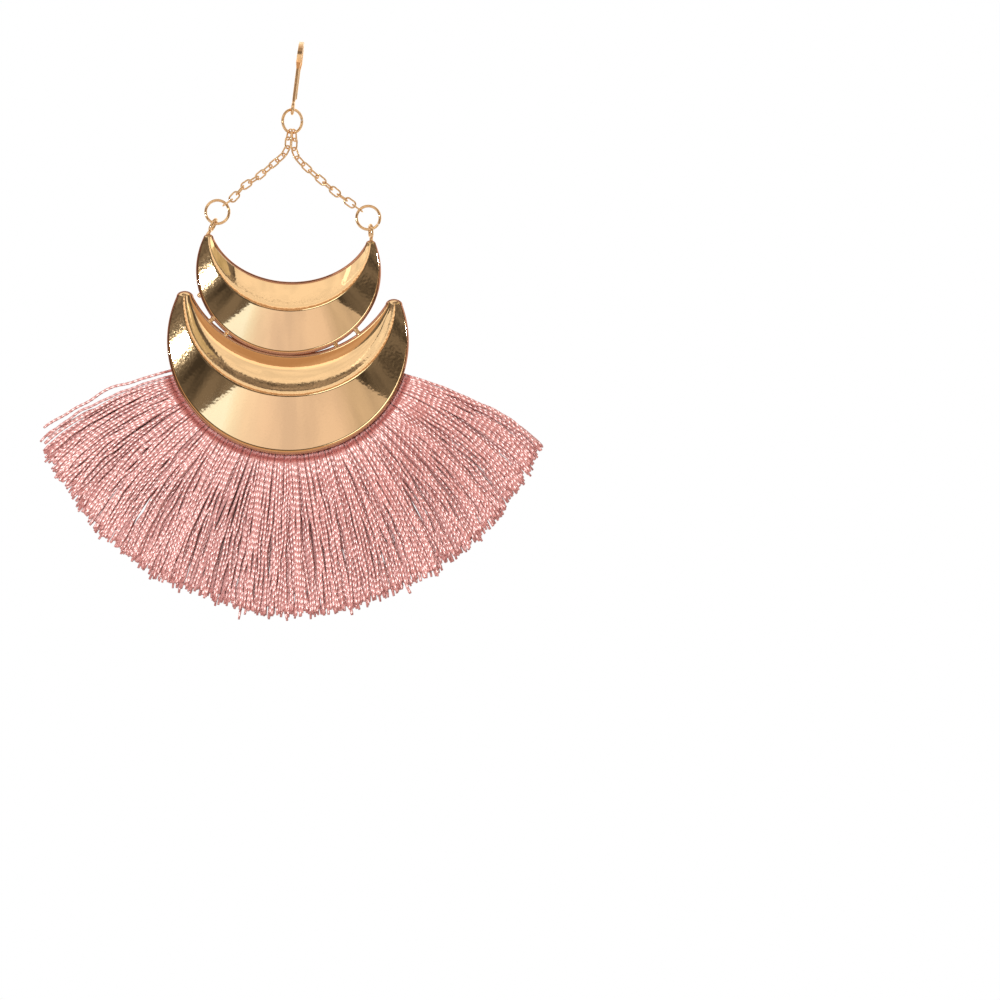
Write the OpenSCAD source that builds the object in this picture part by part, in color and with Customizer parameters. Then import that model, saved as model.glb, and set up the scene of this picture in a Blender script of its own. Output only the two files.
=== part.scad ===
// Tassel earring, shown as it hangs from the ear.
// A wire hook carries a jump ring. Two fine chains run from that ring to two side rings,
// which hold a pair of soldered crescents by their lugs. A fan of thread locks is glued
// behind the lower crescent. The front faces -Y and +Z is up.
// The origin is the inside top of the hook, where it sits in the ear.

/* [Ear hook] */
// Diameter of the hook's wire
hook_wire = 0.65; // [0.56:0.03:0.8]
// Inside radius of the bend that sits in the ear
bend_r = 3.6; // [3:0.1:4.2]
// Width of the bend, where the wire is pressed flat
bend_w = 1; // [0.85:0.05:1.3]
// Thickness of the bend, where the wire is pressed flat
bend_t = 0.52; // [0.4:0.02:0.55]
// Length over which the flat bend narrows to the round wire
bend_taper = 1.2; // [0.8:0.1:2]
// Height from the inside of the bend to the middle of the eye
hook_h = 12.4; // [11.4:0.2:15]
// Length of the straight part of the back leg
back_leg = 4.6; // [3:0.2:6]
// Angle by which the tip of the back leg turns outwards
tip_turn = 22; // [10:2:40]
// Radius of the turn at the tip
tip_r = 5; // [3:0.5:8]
// Lean of the hook's lower end to the left
hook_lean = 5; // [0:1:8]
// Inside diameter of the eye
eye_hole = 1.4; // [1.35:0.05:1.6]

/* [Jump rings] */
// Outside diameter of a jump ring
ring_d = 5; // [4.6:0.1:5.6]
// Diameter of a jump ring's wire
ring_wire = 0.55; // [0.46:0.03:0.58]
// Angle of the cut where a jump ring closes
ring_cut = 2; // [1:0.5:4]
// Turn of the top ring about the upright
top_ring_turn = 36; // [30:2:42]
// Distance between the two chains along the top ring's wire
chain_apart = 1; // [0.9:0.05:1.2]
// Clearance between rings, lugs and links that hang in each other
hang_gap = 0.2; // [0.18:0.01:0.22]

/* [Chains] */
// Diameter of a link's wire
link_wire = 0.34; // [0.28:0.02:0.36]
// Outside width of a link
link_w = 1.64; // [1.5:0.02:1.7]
// Distance from one link to the next
link_pitch = 1.72; // [1.6:0.02:1.9]

/* [Crescents] */
// Width of the lower crescent
lower_w = 46; // [42:0.5:50]
// Height of the lower crescent's outer curve above and below its middle
lower_h = 21.6; // [19.5:0.1:22]
// Height of the metal at the middle of the lower crescent
lower_band = 19.1; // [17.4:0.1:19.4]
// Height above the middle of the outer curve at which the lower horns' ends start to round
lower_tip = 7.7; // [7:0.1:8.4]
// Rise of the lower crescent's ridge above its edges
lower_rise = 2; // [1.2:0.1:2.6]
// Width of the upper crescent
upper_w = 35.2; // [33:0.2:38]
// Height of the upper crescent's outer curve above and below its middle
upper_h = 16; // [15:0.1:17]
// Height of the metal at the middle of the upper crescent
upper_band = 14; // [13.4:0.1:14.8]
// Height above the middle of the outer curve at which the upper horns' ends start to round
upper_tip = 5.8; // [5.2:0.1:6.2]
// Rise of the upper crescent's ridge above its edges
upper_rise = 1.8; // [1.2:0.1:2.4]
// How far the upper crescent is soldered to the left of the lower one
upper_shift = 0.4; // [0:0.1:0.6]
// How far the upper crescent's lowest edge runs into the lower one's solder
solder_lap = 0.2; // [0.1:0.05:0.4]
// Thickness of the crescents at their edges
edge_t = 1.1; // [1:0.05:1.4]
// Thickness of the metal between the edges, hollow behind the ridge
metal_t = 0.95; // [0.7:0.05:0.95]
// Width of the raised border along the edges
border_w = 0.7; // [0.5:0.1:0.9]
// Height of the raised border
border_t = 0.16; // [0.1:0.02:0.24]
// Diameter of the bars soldered between the crescents
bar_d = 0.9; // [0.7:0.1:1]
// Diameter of the drop of solder beside the left horn
nub_d = 1.2; // [0.9:0.1:1.4]

/* [Lugs] */
// Diameter of a lug's wire
lug_wire = 0.6; // [0.54:0.02:0.64]
// Outside width of a lug
lug_w = 2.3; // [2.3:0.05:2.7]
// Height of the hole in a lug
lug_hole = 1.75; // [1.6:0.05:2]
// Height from the lowest point of a lug's hole to where its horn starts to round
lug_stem = 1.5; // [1.4:0.05:1.8]
// Turn of a lug about its own length, away from facing sideways
lug_turn = 16; // [0:2:16]
// Distance between the two lugs at the rings
lug_span = 29.8; // [28.4:0.2:30.4]
// How far the middle of a side ring lies inwards of its lug
ring_in = 0.55; // [0.3:0.05:0.8]

/* [Tassel] */
// Distance from the middle of the fan to the ends of the threads
fan_r = 52; // [44:0.5:58]
// Angle below level at which the fan starts on the right
fan_right = 15; // [12:1:20]
// Angle below level at which the fan starts on the left
fan_left = 20; // [16:1:26]
// Angle by which the outermost threads droop towards their ends
droop = 6.5; // [0:0.5:9]
// Number of locks
locks = 34; // [24:2:40]
// Thickness of the threads at the crescent's edge
root_t = 2.2; // [1.6:0.1:2.8]
// Thickness of the fan halfway down the threads
fan_t = 3.6; // [2.8:0.1:4.6]
// Thickness of the fan at the ends of the threads
end_t = 2; // [1.4:0.1:3]
// Depth of the furrows between locks
furrow = 0.4; // [0.2:0.05:0.6]
// How uneven the ends of the locks are
ragged = 1; // [0.4:0.1:1.6]
// Width of the head band that holds the threads
head_w = 4.4; // [3.5:0.1:6]

/* [Hang] */
// How far the pendant hangs to the left of the hook's top
pendant_x = 0.3; // [0:0.1:1]
// Drop from the hook's inside top to the pivots in the side rings
pivot_drop = 34.75; // [34:0.25:36]
// How far the crescents' backs lie behind those pivots
back_y = 0.5; // [0.4:0.05:0.6]
// How far the threads come forward of the crescents' backs below the edge
forward = 1; // [0.4:0.1:1.2]
// Gap between the crescents' backs and the head band glued behind them
glue_gap = 0.12; // [0.1:0.02:0.3]

/* [Hidden] */
GOLD = [0.86, 0.68, 0.42];
ROSE = [0.78, 0.55, 0.53];

// The plane in which the drop hangs, and the middle of the hook's eye
drop_y = -(bend_r + hook_wire / 2);
eye = [-hook_h * sin(hook_lean), drop_y, -hook_h * cos(hook_lean)];

// Jump rings: radius of the wire's middle line, and where each ring hangs
ring_r = (ring_d - ring_wire) / 2;
ring_rest = ring_wire / 2 + hang_gap;
top_ring_at = eye - [0, 0, eye_hole / 2 - ring_rest + ring_r];
ring_up = sqrt(ring_r * ring_r - ring_in * ring_in);
function pivot(side) = [side * lug_span / 2 - pendant_x, drop_y, -pivot_drop];
function side_ring_at(side) = pivot(side) + [-side * ring_in, 0, ring_up];

// Columns of a crescent's row of sizes
ACROSS = 0;
WIDE = 1;
HIGH = 2;
BAND = 3;
TIP = 4;
RISE = 5;
SHAPE = 6;
MIDDLE = 7;

// Columns of a crescent's shape, as shares: the inner curve's width and height and the ridge
// curve's width and height, of the outer curve's, then the ridge's place across the band
IN_W = 0;
IN_H = 1;
RIDGE_W = 2;
RIDGE_H = 3;
RIDGE_AT = 4;
LOWER_SHAPE = [0.91, 0.925, 0.872, 0.795, 0.412];
UPPER_SHAPE = [0.88, 0.757, 0.87, 0.842, 0.39];

// The upper horns' ends hang below the pivots, and the lower crescent is soldered under the upper
upper_mid = -pivot_drop + ring_rest - lug_hole - lug_stem - upper_tip;
lower_mid = upper_mid - upper_h + solder_lap - lower_band + lower_h;
LOWER = [-pendant_x, lower_w / 2, lower_h, lower_band, lower_tip, lower_rise, LOWER_SHAPE, lower_mid];
UPPER = [
    -pendant_x - upper_shift, upper_w / 2, upper_h, upper_band, upper_tip, upper_rise,
    UPPER_SHAPE, upper_mid
];

// Each curve is an ellipse [middle x, middle z, half width, half height]
function outer_curve(c) = [c[ACROSS], c[MIDDLE], c[WIDE], c[HIGH]];
function inner_high(c) = c[HIGH] * c[SHAPE][IN_H];
function inner_curve(c) = [
    c[ACROSS], c[MIDDLE] - c[HIGH] + c[BAND] + inner_high(c), c[WIDE] * c[SHAPE][IN_W], inner_high(c)
];
function ridge_high(c) = c[HIGH] * c[SHAPE][RIDGE_H];
function ridge_curve(c) = [
    c[ACROSS],
    c[MIDDLE] - c[HIGH] + c[BAND] * (1 - c[SHAPE][RIDGE_AT]) + ridge_high(c),
    c[WIDE] * c[SHAPE][RIDGE_W],
    ridge_high(c)
];
// A point on a curve, by the angle from its lowest point, and the angle at the horn's end
function on_curve(e, a) = [e[0] + e[2] * sin(a), e[1] - e[3] * cos(a)];
function horn_angle(e, z) = acos((e[1] - z) / e[3]);
function at_share(e, c, s) = on_curve(e, s * horn_angle(e, c[MIDDLE] + c[TIP]));

// Section of a crescent. Columns: which foot the point is measured from (0 inner, 1 outer),
// border widths from that foot, share of the way on to the ridge, height in edge
// thicknesses, in border heights and in rises, and 1 where it is the hollow of the back
SECTION = [
    [0, 0, 0, 0, 0, 0, 0],
    [0, 0, 0, 0.8, 0, 0, 0],
    [0, 0.25, 0, 1, 0.8, 0, 0],
    [0, 0.65, 0, 1, 1, 0, 0],
    [0, 1, 0, 1, 0.2, 0.02, 0],
    [0, 1, 0.45, 1, 0, 0.26, 0],
    [0, 1, 0.78, 1, 0, 0.68, 0],
    [0, 1, 0.92, 1, 0, 0.93, 0],
    [0, 1, 1, 1, 0, 1, 0],
    [1, 1, 0.5, 1, 0, 0.5, 0],
    [1, 1, 0, 1, 0.2, 0.02, 0],
    [1, 0.65, 0, 1, 1, 0, 0],
    [1, 0.25, 0, 1, 0.8, 0, 0],
    [1, 0, 0, 0.8, 0, 0, 0],
    [1, 0, 0, 0, 0, 0, 0],
    [1, 1.1, 0, 0, 0, 0, 0],
    [1, 1.1, 0.2, 1, 0, 0.2, 1],
    [0, 1.1, 0.95, 1, 0, 0.96, 1],
    [0, 1.1, 0.45, 1, 0, 0.26, 1],
    [0, 1.1, 0, 0, 0, 0, 0]
];
HORN_STEPS = 22;
// Turns round a horn's blunt end. The upper horns end flatter, because they carry the lugs.
LOWER_TURNS = [30, 55, 78];
UPPER_TURNS = [30, 55];
// How closely the ridge's rise follows the band's width towards the horns
THINNING = 0.75;
// The widest share of a horn that its border takes
BORDER_SHARE = 0.2;
// Widths of the band at which the back starts to be hollow, and is fully so
HOLLOW_FROM = 3;
HOLLOW_TO = 6;
// The step back along the ridge that gives its direction at a horn's end
SHORT_OF_END = 0.98;

// The two feet of a section, s from -1 at the left horn's end to 1 at the right one's
function feet(c, s) = [at_share(inner_curve(c), c, s), at_share(outer_curve(c), c, s)];
// How far a horn's end runs on, by the turn round it
function run_on(c, s, turn) =
    let (
        foot = feet(c, s),
        past = at_share(ridge_curve(c), c, s) - at_share(ridge_curve(c), c, s * SHORT_OF_END)
    )
    turn == 0 ? [0, 0] : past / norm(past) * norm(foot[1] - foot[0]) / 2 * sin(turn);

// Points of one section. turn is the angle round a horn's blunt end, 0 along the crescent itself.
function section(c, s, turn) =
    let (
        foot = feet(c, s),
        crest = at_share(ridge_curve(c), c, s),
        mid = (foot[0] + foot[1]) / 2,
        span = foot[1] - foot[0],
        width = norm(span),
        thick = pow(width / c[BAND], THINNING),
        border = min(border_w, width * BORDER_SHARE),
        hollow = min(1, max(0, (width - HOLLOW_FROM) / (HOLLOW_TO - HOLLOW_FROM)))
    )
    [for (p = SECTION)
        let (
            from = foot[p[0]],
            run = crest - from,
            plan = from + run / norm(run) * border * p[1] + run * (1 - border / norm(run)) * p[2],
            flat = turn == 0 ? plan : mid + span * ((plan - mid) * span) / (span * span),
            at = mid + (flat - mid) * cos(turn) + run_on(c, s, turn),
            front = edge_t * p[3] + (border_t * p[4] + c[RISE] * thick * p[5]) * cos(turn),
            high = p[6] == 0 ? front : (front - metal_t) * hollow
        )
        [at[0], drop_y + back_y - high, at[1]]
    ];

// The wall of a solid between rings of points, and ladders of faces that close its two ends
function skin(rings, n) = [
    for (i = [0:len(rings) - 2], j = [0:n - 1])
        let (a = i * n + j, b = i * n + (j + 1) % n)
        each [[a, b, b + n], [a, b + n, a + n]]
];
function ladder(first, n) = [
    for (i = [0:n / 2 - 2])
        let (a = first + i, b = first + n - 1 - i)
        each [[a, b, b - 1], [a, b - 1, a + 1]]
];
function turned(faces) = [for (f = faces) [f[2], f[1], f[0]]];
module loft(rings) {
    n = len(rings[0]);
    last = (len(rings) - 1) * n;
    polyhedron(
        points = [for (r = rings) each r],
        faces = concat(skin(rings, n), ladder(0, n), turned(ladder(last, n)))
    );
}

module crescent(c, turns) {
    left_end = [for (i = [len(turns) - 1:-1:0]) section(c, -1, turns[i])];
    body = [for (i = [-HORN_STEPS:HORN_STEPS]) section(c, i / HORN_STEPS, 0)];
    right_end = [for (t = turns) section(c, 1, t)];
    loft(concat(left_end, body, right_end));
}

// Places a piece with its own Z along u and its own Y along n
module along(at, u, n) {
    x = cross(n, u);
    multmatrix([
        [x[0], n[0], u[0], at[0]],
        [x[1], n[1], u[1], at[1]],
        [x[2], n[2], u[2], at[2]],
        [0, 0, 0, 1]
    ]) children();
}
function unit(v) = v / norm(v);
// Lengths whose ends meet face to face are kept to whole microns
function whole_microns(d) = round(d * 1000) / 1000;

// A closed loop of wire with straight sides, inner long inside, its hole facing Y
module wire_loop(wire, width, inner) {
    r = whole_microns((width - wire) / 2);
    half = whole_microns((inner + wire) / 2 - r);
    for (turn = [0, 180])
        rotate([0, turn, 0]) {
            translate([0, 0, half])
                rotate([90, 0, 0])
                    rotate_extrude(angle = 180, $fn = 48)
                        translate([r, 0])
                            circle(d = wire, $fn = 24);
            translate([r, 0, -half])
                cylinder(d = wire, h = 2 * half, $fn = 24);
        }
}

module jump_ring(at, turn, cut_at) {
    color(GOLD)
        translate(at)
            rotate([0, 0, turn])
                rotate([90, 0, 0])
                    rotate([0, 0, cut_at])
                        rotate_extrude(angle = 360 - ring_cut, $fn = 72)
                            translate([ring_r, 0])
                                circle(d = ring_wire, $fn = 24);
}

// Thickness of the back leg's rounded tip, and of the neck above the eye, as shares of the wire's
TIP_BEAD = 1.06;
EYE_NECK = 0.9;

module ear_hook() {
    bend_axis = bend_r + hook_wire / 2;
    leg_z = -bend_r - back_leg;
    shank_top = -bend_r - bend_taper;
    eye_top = -hook_h + (eye_hole + hook_wire) / 2;
    neck = 2 * hook_wire;
    color(GOLD)
        rotate([0, hook_lean, 0]) {
            // Bend, pressed flat
            translate([0, 0, -bend_r])
                rotate([90, 0, 90])
                    rotate_extrude(angle = 180, $fn = 96)
                        translate([bend_axis, 0])
                            intersection() {
                                circle(d = bend_w, $fn = 32);
                                square([bend_t, bend_w], center = true);
                            }
            // Where the flat bend narrows to the round wire, front and back
            for (side = [-1, 1])
                translate([0, side * bend_axis, -bend_r - bend_taper])
                    intersection() {
                        cylinder(d1 = hook_wire, d2 = bend_w, h = bend_taper, $fn = 32);
                        translate([-bend_w, -bend_t / 2, 0])
                            cube([2 * bend_w, bend_t, bend_taper]);
                    }
            // Shank, and the neck that runs down into the eye
            translate([0, -bend_axis, eye_top + neck])
                cylinder(d = hook_wire, h = shank_top - eye_top - neck, $fn = 32);
            translate([0, -bend_axis, eye_top])
                cylinder(d1 = hook_wire * EYE_NECK, d2 = hook_wire, h = neck, $fn = 32);
            translate([0, -bend_axis, -hook_h])
                rotate([0, 90, 0])
                    rotate_extrude($fn = 64)
                        translate([(eye_hole + hook_wire) / 2, 0])
                            circle(d = hook_wire, $fn = 32);
            // Back leg, its tip turned outwards and rounded
            translate([0, bend_axis, leg_z])
                cylinder(d = hook_wire, h = back_leg - bend_taper, $fn = 32);
            translate([0, bend_axis + tip_r, leg_z])
                rotate([90, 0, 90])
                    rotate([0, 0, 180])
                        rotate_extrude(angle = tip_turn, $fn = 96)
                            translate([tip_r, 0])
                                circle(d = hook_wire, $fn = 32);
            translate([0, bend_axis + tip_r * (1 - cos(tip_turn)), leg_z - tip_r * sin(tip_turn)])
                sphere(d = hook_wire * TIP_BEAD, $fn = 32);
        }
}

// Where the jump rings' cuts are, as angles on each ring
TOP_CUT = 10;
LEFT_CUT = 200;
RIGHT_CUT = 330;

module top_ring() jump_ring(top_ring_at, top_ring_turn, TOP_CUT);
module ring_left() jump_ring(side_ring_at(-1), 0, LEFT_CUT);
module ring_right() jump_ring(side_ring_at(1), 0, RIGHT_CUT);

// Routes of the chains, chosen by hand. Columns: share of the way across and of the way
// down from the top ring to the side ring, then how far in front of the drop's plane
ACROSS_SHARE = 0;
DOWN_SHARE = 1;
FRONT = 2;
LEFT_ROUTE = [
    [0.02, 0.10, 0.75], [0.02, 0.22, 0.90], [0.09, 0.32, 0.85], [0.28, 0.46, 0.60],
    [0.47, 0.61, 0.45], [0.61, 0.69, 0.30], [0.72, 0.75, 0.20], [0.80, 0.84, 0.10], [0.89, 0.93, 0]
];
RIGHT_ROUTE = [
    [0.01, 0.10, -0.75], [0, 0.20, -0.90], [0.03, 0.30, -0.85], [0.10, 0.38, -0.75],
    [0.20, 0.46, -0.65], [0.36, 0.58, -0.50], [0.67, 0.80, -0.20]
];
// Where the chains hook round the side rings, as angles above level
LEFT_HOOKED = 46;
RIGHT_HOOKED = 139;

// Where a chain's end link meets a ring's wire, on the side towards the chain
function top_hold(side) =
    let (a = asin(side * chain_apart / 2 / ring_r))
    top_ring_at + ring_r * [sin(a) * cos(top_ring_turn), sin(a) * sin(top_ring_turn), -cos(a)];
function side_hold(side, a) = side_ring_at(side) + ring_r * [cos(a), 0, sin(a)];
function chain_points(side, route, a) =
    let (
        start = top_hold(side),
        end = side_hold(side, a),
        way = [for (p = route)
            [
                start[0] + (end[0] - start[0]) * p[ACROSS_SHARE],
                drop_y - p[FRONT],
                start[2] + (end[2] - start[2]) * p[DOWN_SHARE]
            ]
        ],
        first = unit(way[0] - start),
        last = unit(end - way[len(way) - 1]),
        slip = ring_wire / 2 + hang_gap / 2
    )
    concat([start - first * slip], way, [end + last * slip]);
function run_length(p, i = 0) = i >= len(p) - 1 ? 0 : norm(p[i + 1] - p[i]) + run_length(p, i + 1);
function along_points(p, d, i = 0) =
    let (step = norm(p[i + 1] - p[i]))
    d <= step || i == len(p) - 2 ? p[i] + (p[i + 1] - p[i]) * d / step : along_points(p, d - step, i + 1);

// Links run from joint to joint and stand at right angles to their neighbours. The first
// one's hole faces along the top ring's wire, and the last one's along the side ring's.
module chain(side, route, a) {
    p = chain_points(side, route, a);
    whole = run_length(p);
    count = round(whole / link_pitch);
    joints = [for (i = [0:count]) along_points(p, whole * i / count)];
    first_roll = top_ring_turn;
    last_roll = count % 2 == 0 ? 90 : 0;
    color(GOLD)
        for (i = [0:count - 1]) {
            span = joints[i + 1] - joints[i];
            u = unit(span);
            flat = unit(cross(u, [0, 1, 0]));
            deep = cross(flat, u);
            roll = 90 * i + first_roll + (last_roll - first_roll) * i / (count - 1);
            along((joints[i] + joints[i + 1]) / 2, u, flat * cos(roll) + deep * sin(roll))
                wire_loop(link_wire, link_w, norm(span) + hang_gap);
        }
}
module chain_left() chain(-1, LEFT_ROUTE, LEFT_HOOKED);
module chain_right() chain(1, RIGHT_ROUTE, RIGHT_HOOKED);

// Diameters of a lug's stem as shares of its wire's, at the horn and at the loop
STEM_FOOT = 1.4;
STEM_NECK = 0.9;
// How far a lug's stem is sunk in its horn
STEM_SUNK = 0.45;

// A lug stands on a horn's blunt end and holds its side ring's lowest wire at the pivot
module lug(side) {
    foot = feet(UPPER, side);
    end_at = (foot[0] + foot[1]) / 2 + run_on(UPPER, side, UPPER_TURNS[len(UPPER_TURNS) - 1]);
    horn_end = [end_at[0], drop_y, end_at[1]];
    up = unit(pivot(side) - horn_end);
    facing = unit(cross([0, 1, 0], up));
    deep = cross(up, facing);
    n = facing * cos(side * lug_turn) + deep * sin(side * lug_turn);
    loop_mid = pivot(side) + up * (ring_rest - lug_hole / 2);
    stem = norm(loop_mid - horn_end) - (lug_hole + lug_wire) / 2 + STEM_SUNK;
    along(loop_mid, up, n)
        wire_loop(lug_wire, lug_w, lug_hole);
    along(horn_end - up * STEM_SUNK, up, n)
        cylinder(d1 = lug_wire * STEM_FOOT, d2 = lug_wire * STEM_NECK, h = stem, $fn = 32);
}

// Bars between the crescents, by their angles on the lower crescent's inner curve, and how far
// each of their ends is sunk in the metal
BARS = [-45, -34, 26, 39.5];
BAR_SUNK = 0.5;

// A bar runs square to the lower crescent's edge as far as the upper crescent's
module bar(a) {
    e = inner_curve(LOWER);
    f = outer_curve(UPPER);
    from = on_curve(e, a);
    u = unit([e[0] - from[0], e[1] - from[1]]);
    d = [from[0] - f[0], from[1] - f[1]];
    qa = pow(u[0] / f[2], 2) + pow(u[1] / f[3], 2);
    qb = 2 * (d[0] * u[0] / pow(f[2], 2) + d[1] * u[1] / pow(f[3], 2));
    qc = pow(d[0] / f[2], 2) + pow(d[1] / f[3], 2) - 1;
    reach = (-qb - sqrt(max(0, qb * qb - 4 * qa * qc))) / (2 * qa);
    along(
        [from[0] - u[0] * BAR_SUNK, drop_y + back_y - edge_t / 2, from[1] - u[1] * BAR_SUNK],
        [u[0], 0, u[1]],
        [0, 1, 0]
    )
        cylinder(d = bar_d, h = reach + 2 * BAR_SUNK, $fn = 24);
}

// The drop of solder on the upper crescent's outer curve, by its angle on that curve
NUB_AT = -71;
module solder_nub() {
    at = on_curve(outer_curve(UPPER), NUB_AT);
    translate([at[0], drop_y + back_y - edge_t / 2, at[1]])
        sphere(d = nub_d, $fn = 32);
}

module crescents() {
    color(GOLD)
        union() {
            crescent(LOWER, LOWER_TURNS);
            crescent(UPPER, UPPER_TURNS);
            solder_nub();
            for (side = [-1, 1])
                lug(side);
            for (a = BARS)
                bar(a);
        }
}

// Rows of the fan from the head band outwards. Columns: how far the row lies inside the
// crescent's edge, as a share of the head band, share of the way to the ends, share of the
// way forward, thickness as shares of root, middle and end, and share of the furrows' depth
INSIDE = 0;
OUT = 1;
FORWARD = 2;
ROOT_SHARE = 3;
MID_SHARE = 4;
END_SHARE = 5;
FURROW = 6;
FAN_ROWS = [
    [1, 0, 0, 0.6, 0, 0, 0],
    [0.85, 0, 0, 0.9, 0, 0, 0],
    [0, 0.006, 0, 1, 0, 0, 0],
    [0, 0.04, 0.3, 1, 0, 0, 0.3],
    [0, 0.14, 0.8, 0.6, 0.4, 0, 0.7],
    [0, 0.3, 1, 0.2, 0.8, 0, 1],
    [0, 0.5, 1, 0, 1, 0, 1],
    [0, 0.75, 1, 0, 0.5, 0.5, 1],
    [0, 0.93, 1, 0, 0, 1, 1],
    [0, 1, 1, 0, 0, 0.55, 1]
];
// Depth of the furrow at four places across a lock, as shares
ACROSS_LOCK = [1, 0.3, 0, 0.3];
// How much shorter the threads are at a lock's sides than at its middle
NOTCH = 1.3;
// Waves that make the locks' ends uneven. Columns: share of the unevenness, and the angles by
// which the wave steps from lock to lock and starts
WAVES = [[0.6, 97, 0], [0.4, 53, 40]];

// Distance from the middle of the lower crescent's outer curve to that curve
function edge_r(a) = 1 / sqrt(pow(cos(a) / (lower_w / 2), 2) + pow(sin(a) / lower_h, 2));
function lock_end(i) =
    fan_r - ragged / 2 + ragged * (
        WAVES[0][0] * sin(i * WAVES[0][1] + WAVES[0][2]) + WAVES[1][0] * sin(i * WAVES[1][1] + WAVES[1][2])
    );
// One row of the fan, front face from right to left and back face from left to right
function fan_row(row) =
    let (
        n = locks * len(ACROSS_LOCK),
        thick = root_t * row[ROOT_SHARE] + fan_t * row[MID_SHARE] + end_t * row[END_SHARE],
        front = drop_y + back_y + glue_gap - forward * row[FORWARD],
        spot = function (i, back)
            let (
                across = i / n,
                start = fan_right + (180 - fan_right - fan_left) * across,
                dip = ACROSS_LOCK[i % len(ACROSS_LOCK)] * row[FURROW],
                tip = lock_end(floor(i / len(ACROSS_LOCK))) - NOTCH * dip * row[OUT],
                r0 = edge_r(start),
                r = r0 - head_w * row[INSIDE] + (tip - r0) * row[OUT],
                a = start + droop * cos(start) * pow(row[OUT], 2),
                depth = back ? thick - furrow * dip : furrow * dip
            )
            [-pendant_x + r * cos(a), front + depth, lower_mid - r * sin(a)]
    )
    concat([for (i = [0:n]) spot(i, false)], [for (i = [n:-1:0]) spot(i, true)]);

module tassel() {
    color(ROSE)
        loft([for (row = FAN_ROWS) fan_row(row)]);
}

ear_hook();
top_ring();
chain_left();
chain_right();
ring_left();
ring_right();
crescents();
tassel();
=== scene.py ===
# %% [markdown]
# # A tassel earring
#
# The real earring is a fish hook of gold wire, a jump ring, two fine chains, and two crescents
# stamped from sheet metal and soldered together. A wide fan of silky thread hangs from the
# lower crescent. The CAD model already has every hard piece in its place, so we start from it,
# keep its wire pieces, and give the crescents and the threads the fine shape that a solid
# model leaves out.

# %% Open the CAD frame
import math

import bmesh
import bpy
import numpy as np
from mathutils import Matrix, Quaternion, Vector


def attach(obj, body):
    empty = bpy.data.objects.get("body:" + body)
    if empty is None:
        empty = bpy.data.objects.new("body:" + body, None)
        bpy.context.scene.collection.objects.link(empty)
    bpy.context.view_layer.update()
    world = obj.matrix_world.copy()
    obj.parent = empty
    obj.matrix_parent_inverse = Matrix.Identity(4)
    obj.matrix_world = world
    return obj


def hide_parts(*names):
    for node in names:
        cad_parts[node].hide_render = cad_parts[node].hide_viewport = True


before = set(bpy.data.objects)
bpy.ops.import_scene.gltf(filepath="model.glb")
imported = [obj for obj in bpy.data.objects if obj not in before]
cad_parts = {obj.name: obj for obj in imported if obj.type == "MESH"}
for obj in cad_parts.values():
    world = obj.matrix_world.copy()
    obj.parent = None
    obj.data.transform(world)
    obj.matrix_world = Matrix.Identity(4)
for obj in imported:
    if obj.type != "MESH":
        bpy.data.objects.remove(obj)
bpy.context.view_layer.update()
MM = 0.001
print("CAD nodes:", sorted(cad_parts))

# %% [markdown]
# ## Camera
#
# The photograph looks straight at the earring's front, and nothing in it spreads with depth,
# so we take a very long lens from far away. The earring is turned in it by about two degrees.
# We turn the camera instead, because the CAD model has to hang straight.

# %% Set the camera
ROLL = math.radians(2.2)
FOCAL, SENSOR = 300.0, 36.0
PICTURE_WIDTH = 190.0 * MM
PICTURE_MIDDLE = Vector((41.13, -4.5, -85.24)) * MM

camera_data = bpy.data.cameras.new("camera")
camera_data.lens = FOCAL
camera_data.sensor_width = SENSOR
camera_data.clip_start = 0.01
camera = bpy.data.objects.new("camera", camera_data)
bpy.context.scene.collection.objects.link(camera)
rightward = Vector((math.cos(ROLL), 0, math.sin(ROLL)))
upward = Vector((-math.sin(ROLL), 0, math.cos(ROLL)))
backward = Vector((0, -1, 0))
distance = PICTURE_WIDTH * FOCAL / SENSOR
spot = PICTURE_MIDDLE + backward * distance
camera.matrix_world = Matrix((
    (rightward.x, upward.x, backward.x, spot.x),
    (rightward.y, upward.y, backward.y, spot.y),
    (rightward.z, upward.z, backward.z, spot.z),
    (0, 0, 0, 1),
))
bpy.context.scene.camera = camera
print("camera", round(distance, 4), "m in front of the earring")

# %% [markdown]
# ## Studio
#
# Polished metal shows the room more than itself, so half of its look is what stands round it.
# First comes the room: dim in front of the earring, which makes the crescents' dark flanks,
# and white behind it. A noise makes its light uneven, so that no flank has one flat tone.
# The camera itself sees plain white, which the Light Path node chooses.

# %% Light the room
scene = bpy.context.scene
scene.view_settings.view_transform = "Standard"
room = bpy.data.worlds.new("white_room")
scene.world = room
room.use_nodes = True
room_tree = room.node_tree
room_tree.nodes.clear()


def room_node(kind, **settings):
    node = room_tree.nodes.new(kind)
    for name, value in settings.items():
        setattr(node, name, value)
    return node


world_out = room_node("ShaderNodeOutputWorld")
seen = room_node("ShaderNodeBackground")
seen.inputs["Color"].default_value = (1, 1, 1, 1)
lit = room_node("ShaderNodeBackground")
path = room_node("ShaderNodeLightPath")
choose = room_node("ShaderNodeMixShader")
direction = room_node("ShaderNodeTexCoord")
parts = room_node("ShaderNodeSeparateXYZ")
depth_ramp = room_node("ShaderNodeValToRGB")
spread = room_node("ShaderNodeMapRange")
spread.inputs["From Min"].default_value = -1
spread.inputs["From Max"].default_value = 1
ROOM_FROM_FRONT_TO_BACK = [
    (0.00, (0.10, 0.085, 0.07)),
    (0.15, (0.12, 0.10, 0.085)),
    (0.35, (0.30, 0.24, 0.20)),
    (0.55, (0.42, 0.34, 0.29)),
    (0.80, (0.85, 0.80, 0.76)),
    (1.00, (1.0, 1.0, 1.0)),
]
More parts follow.
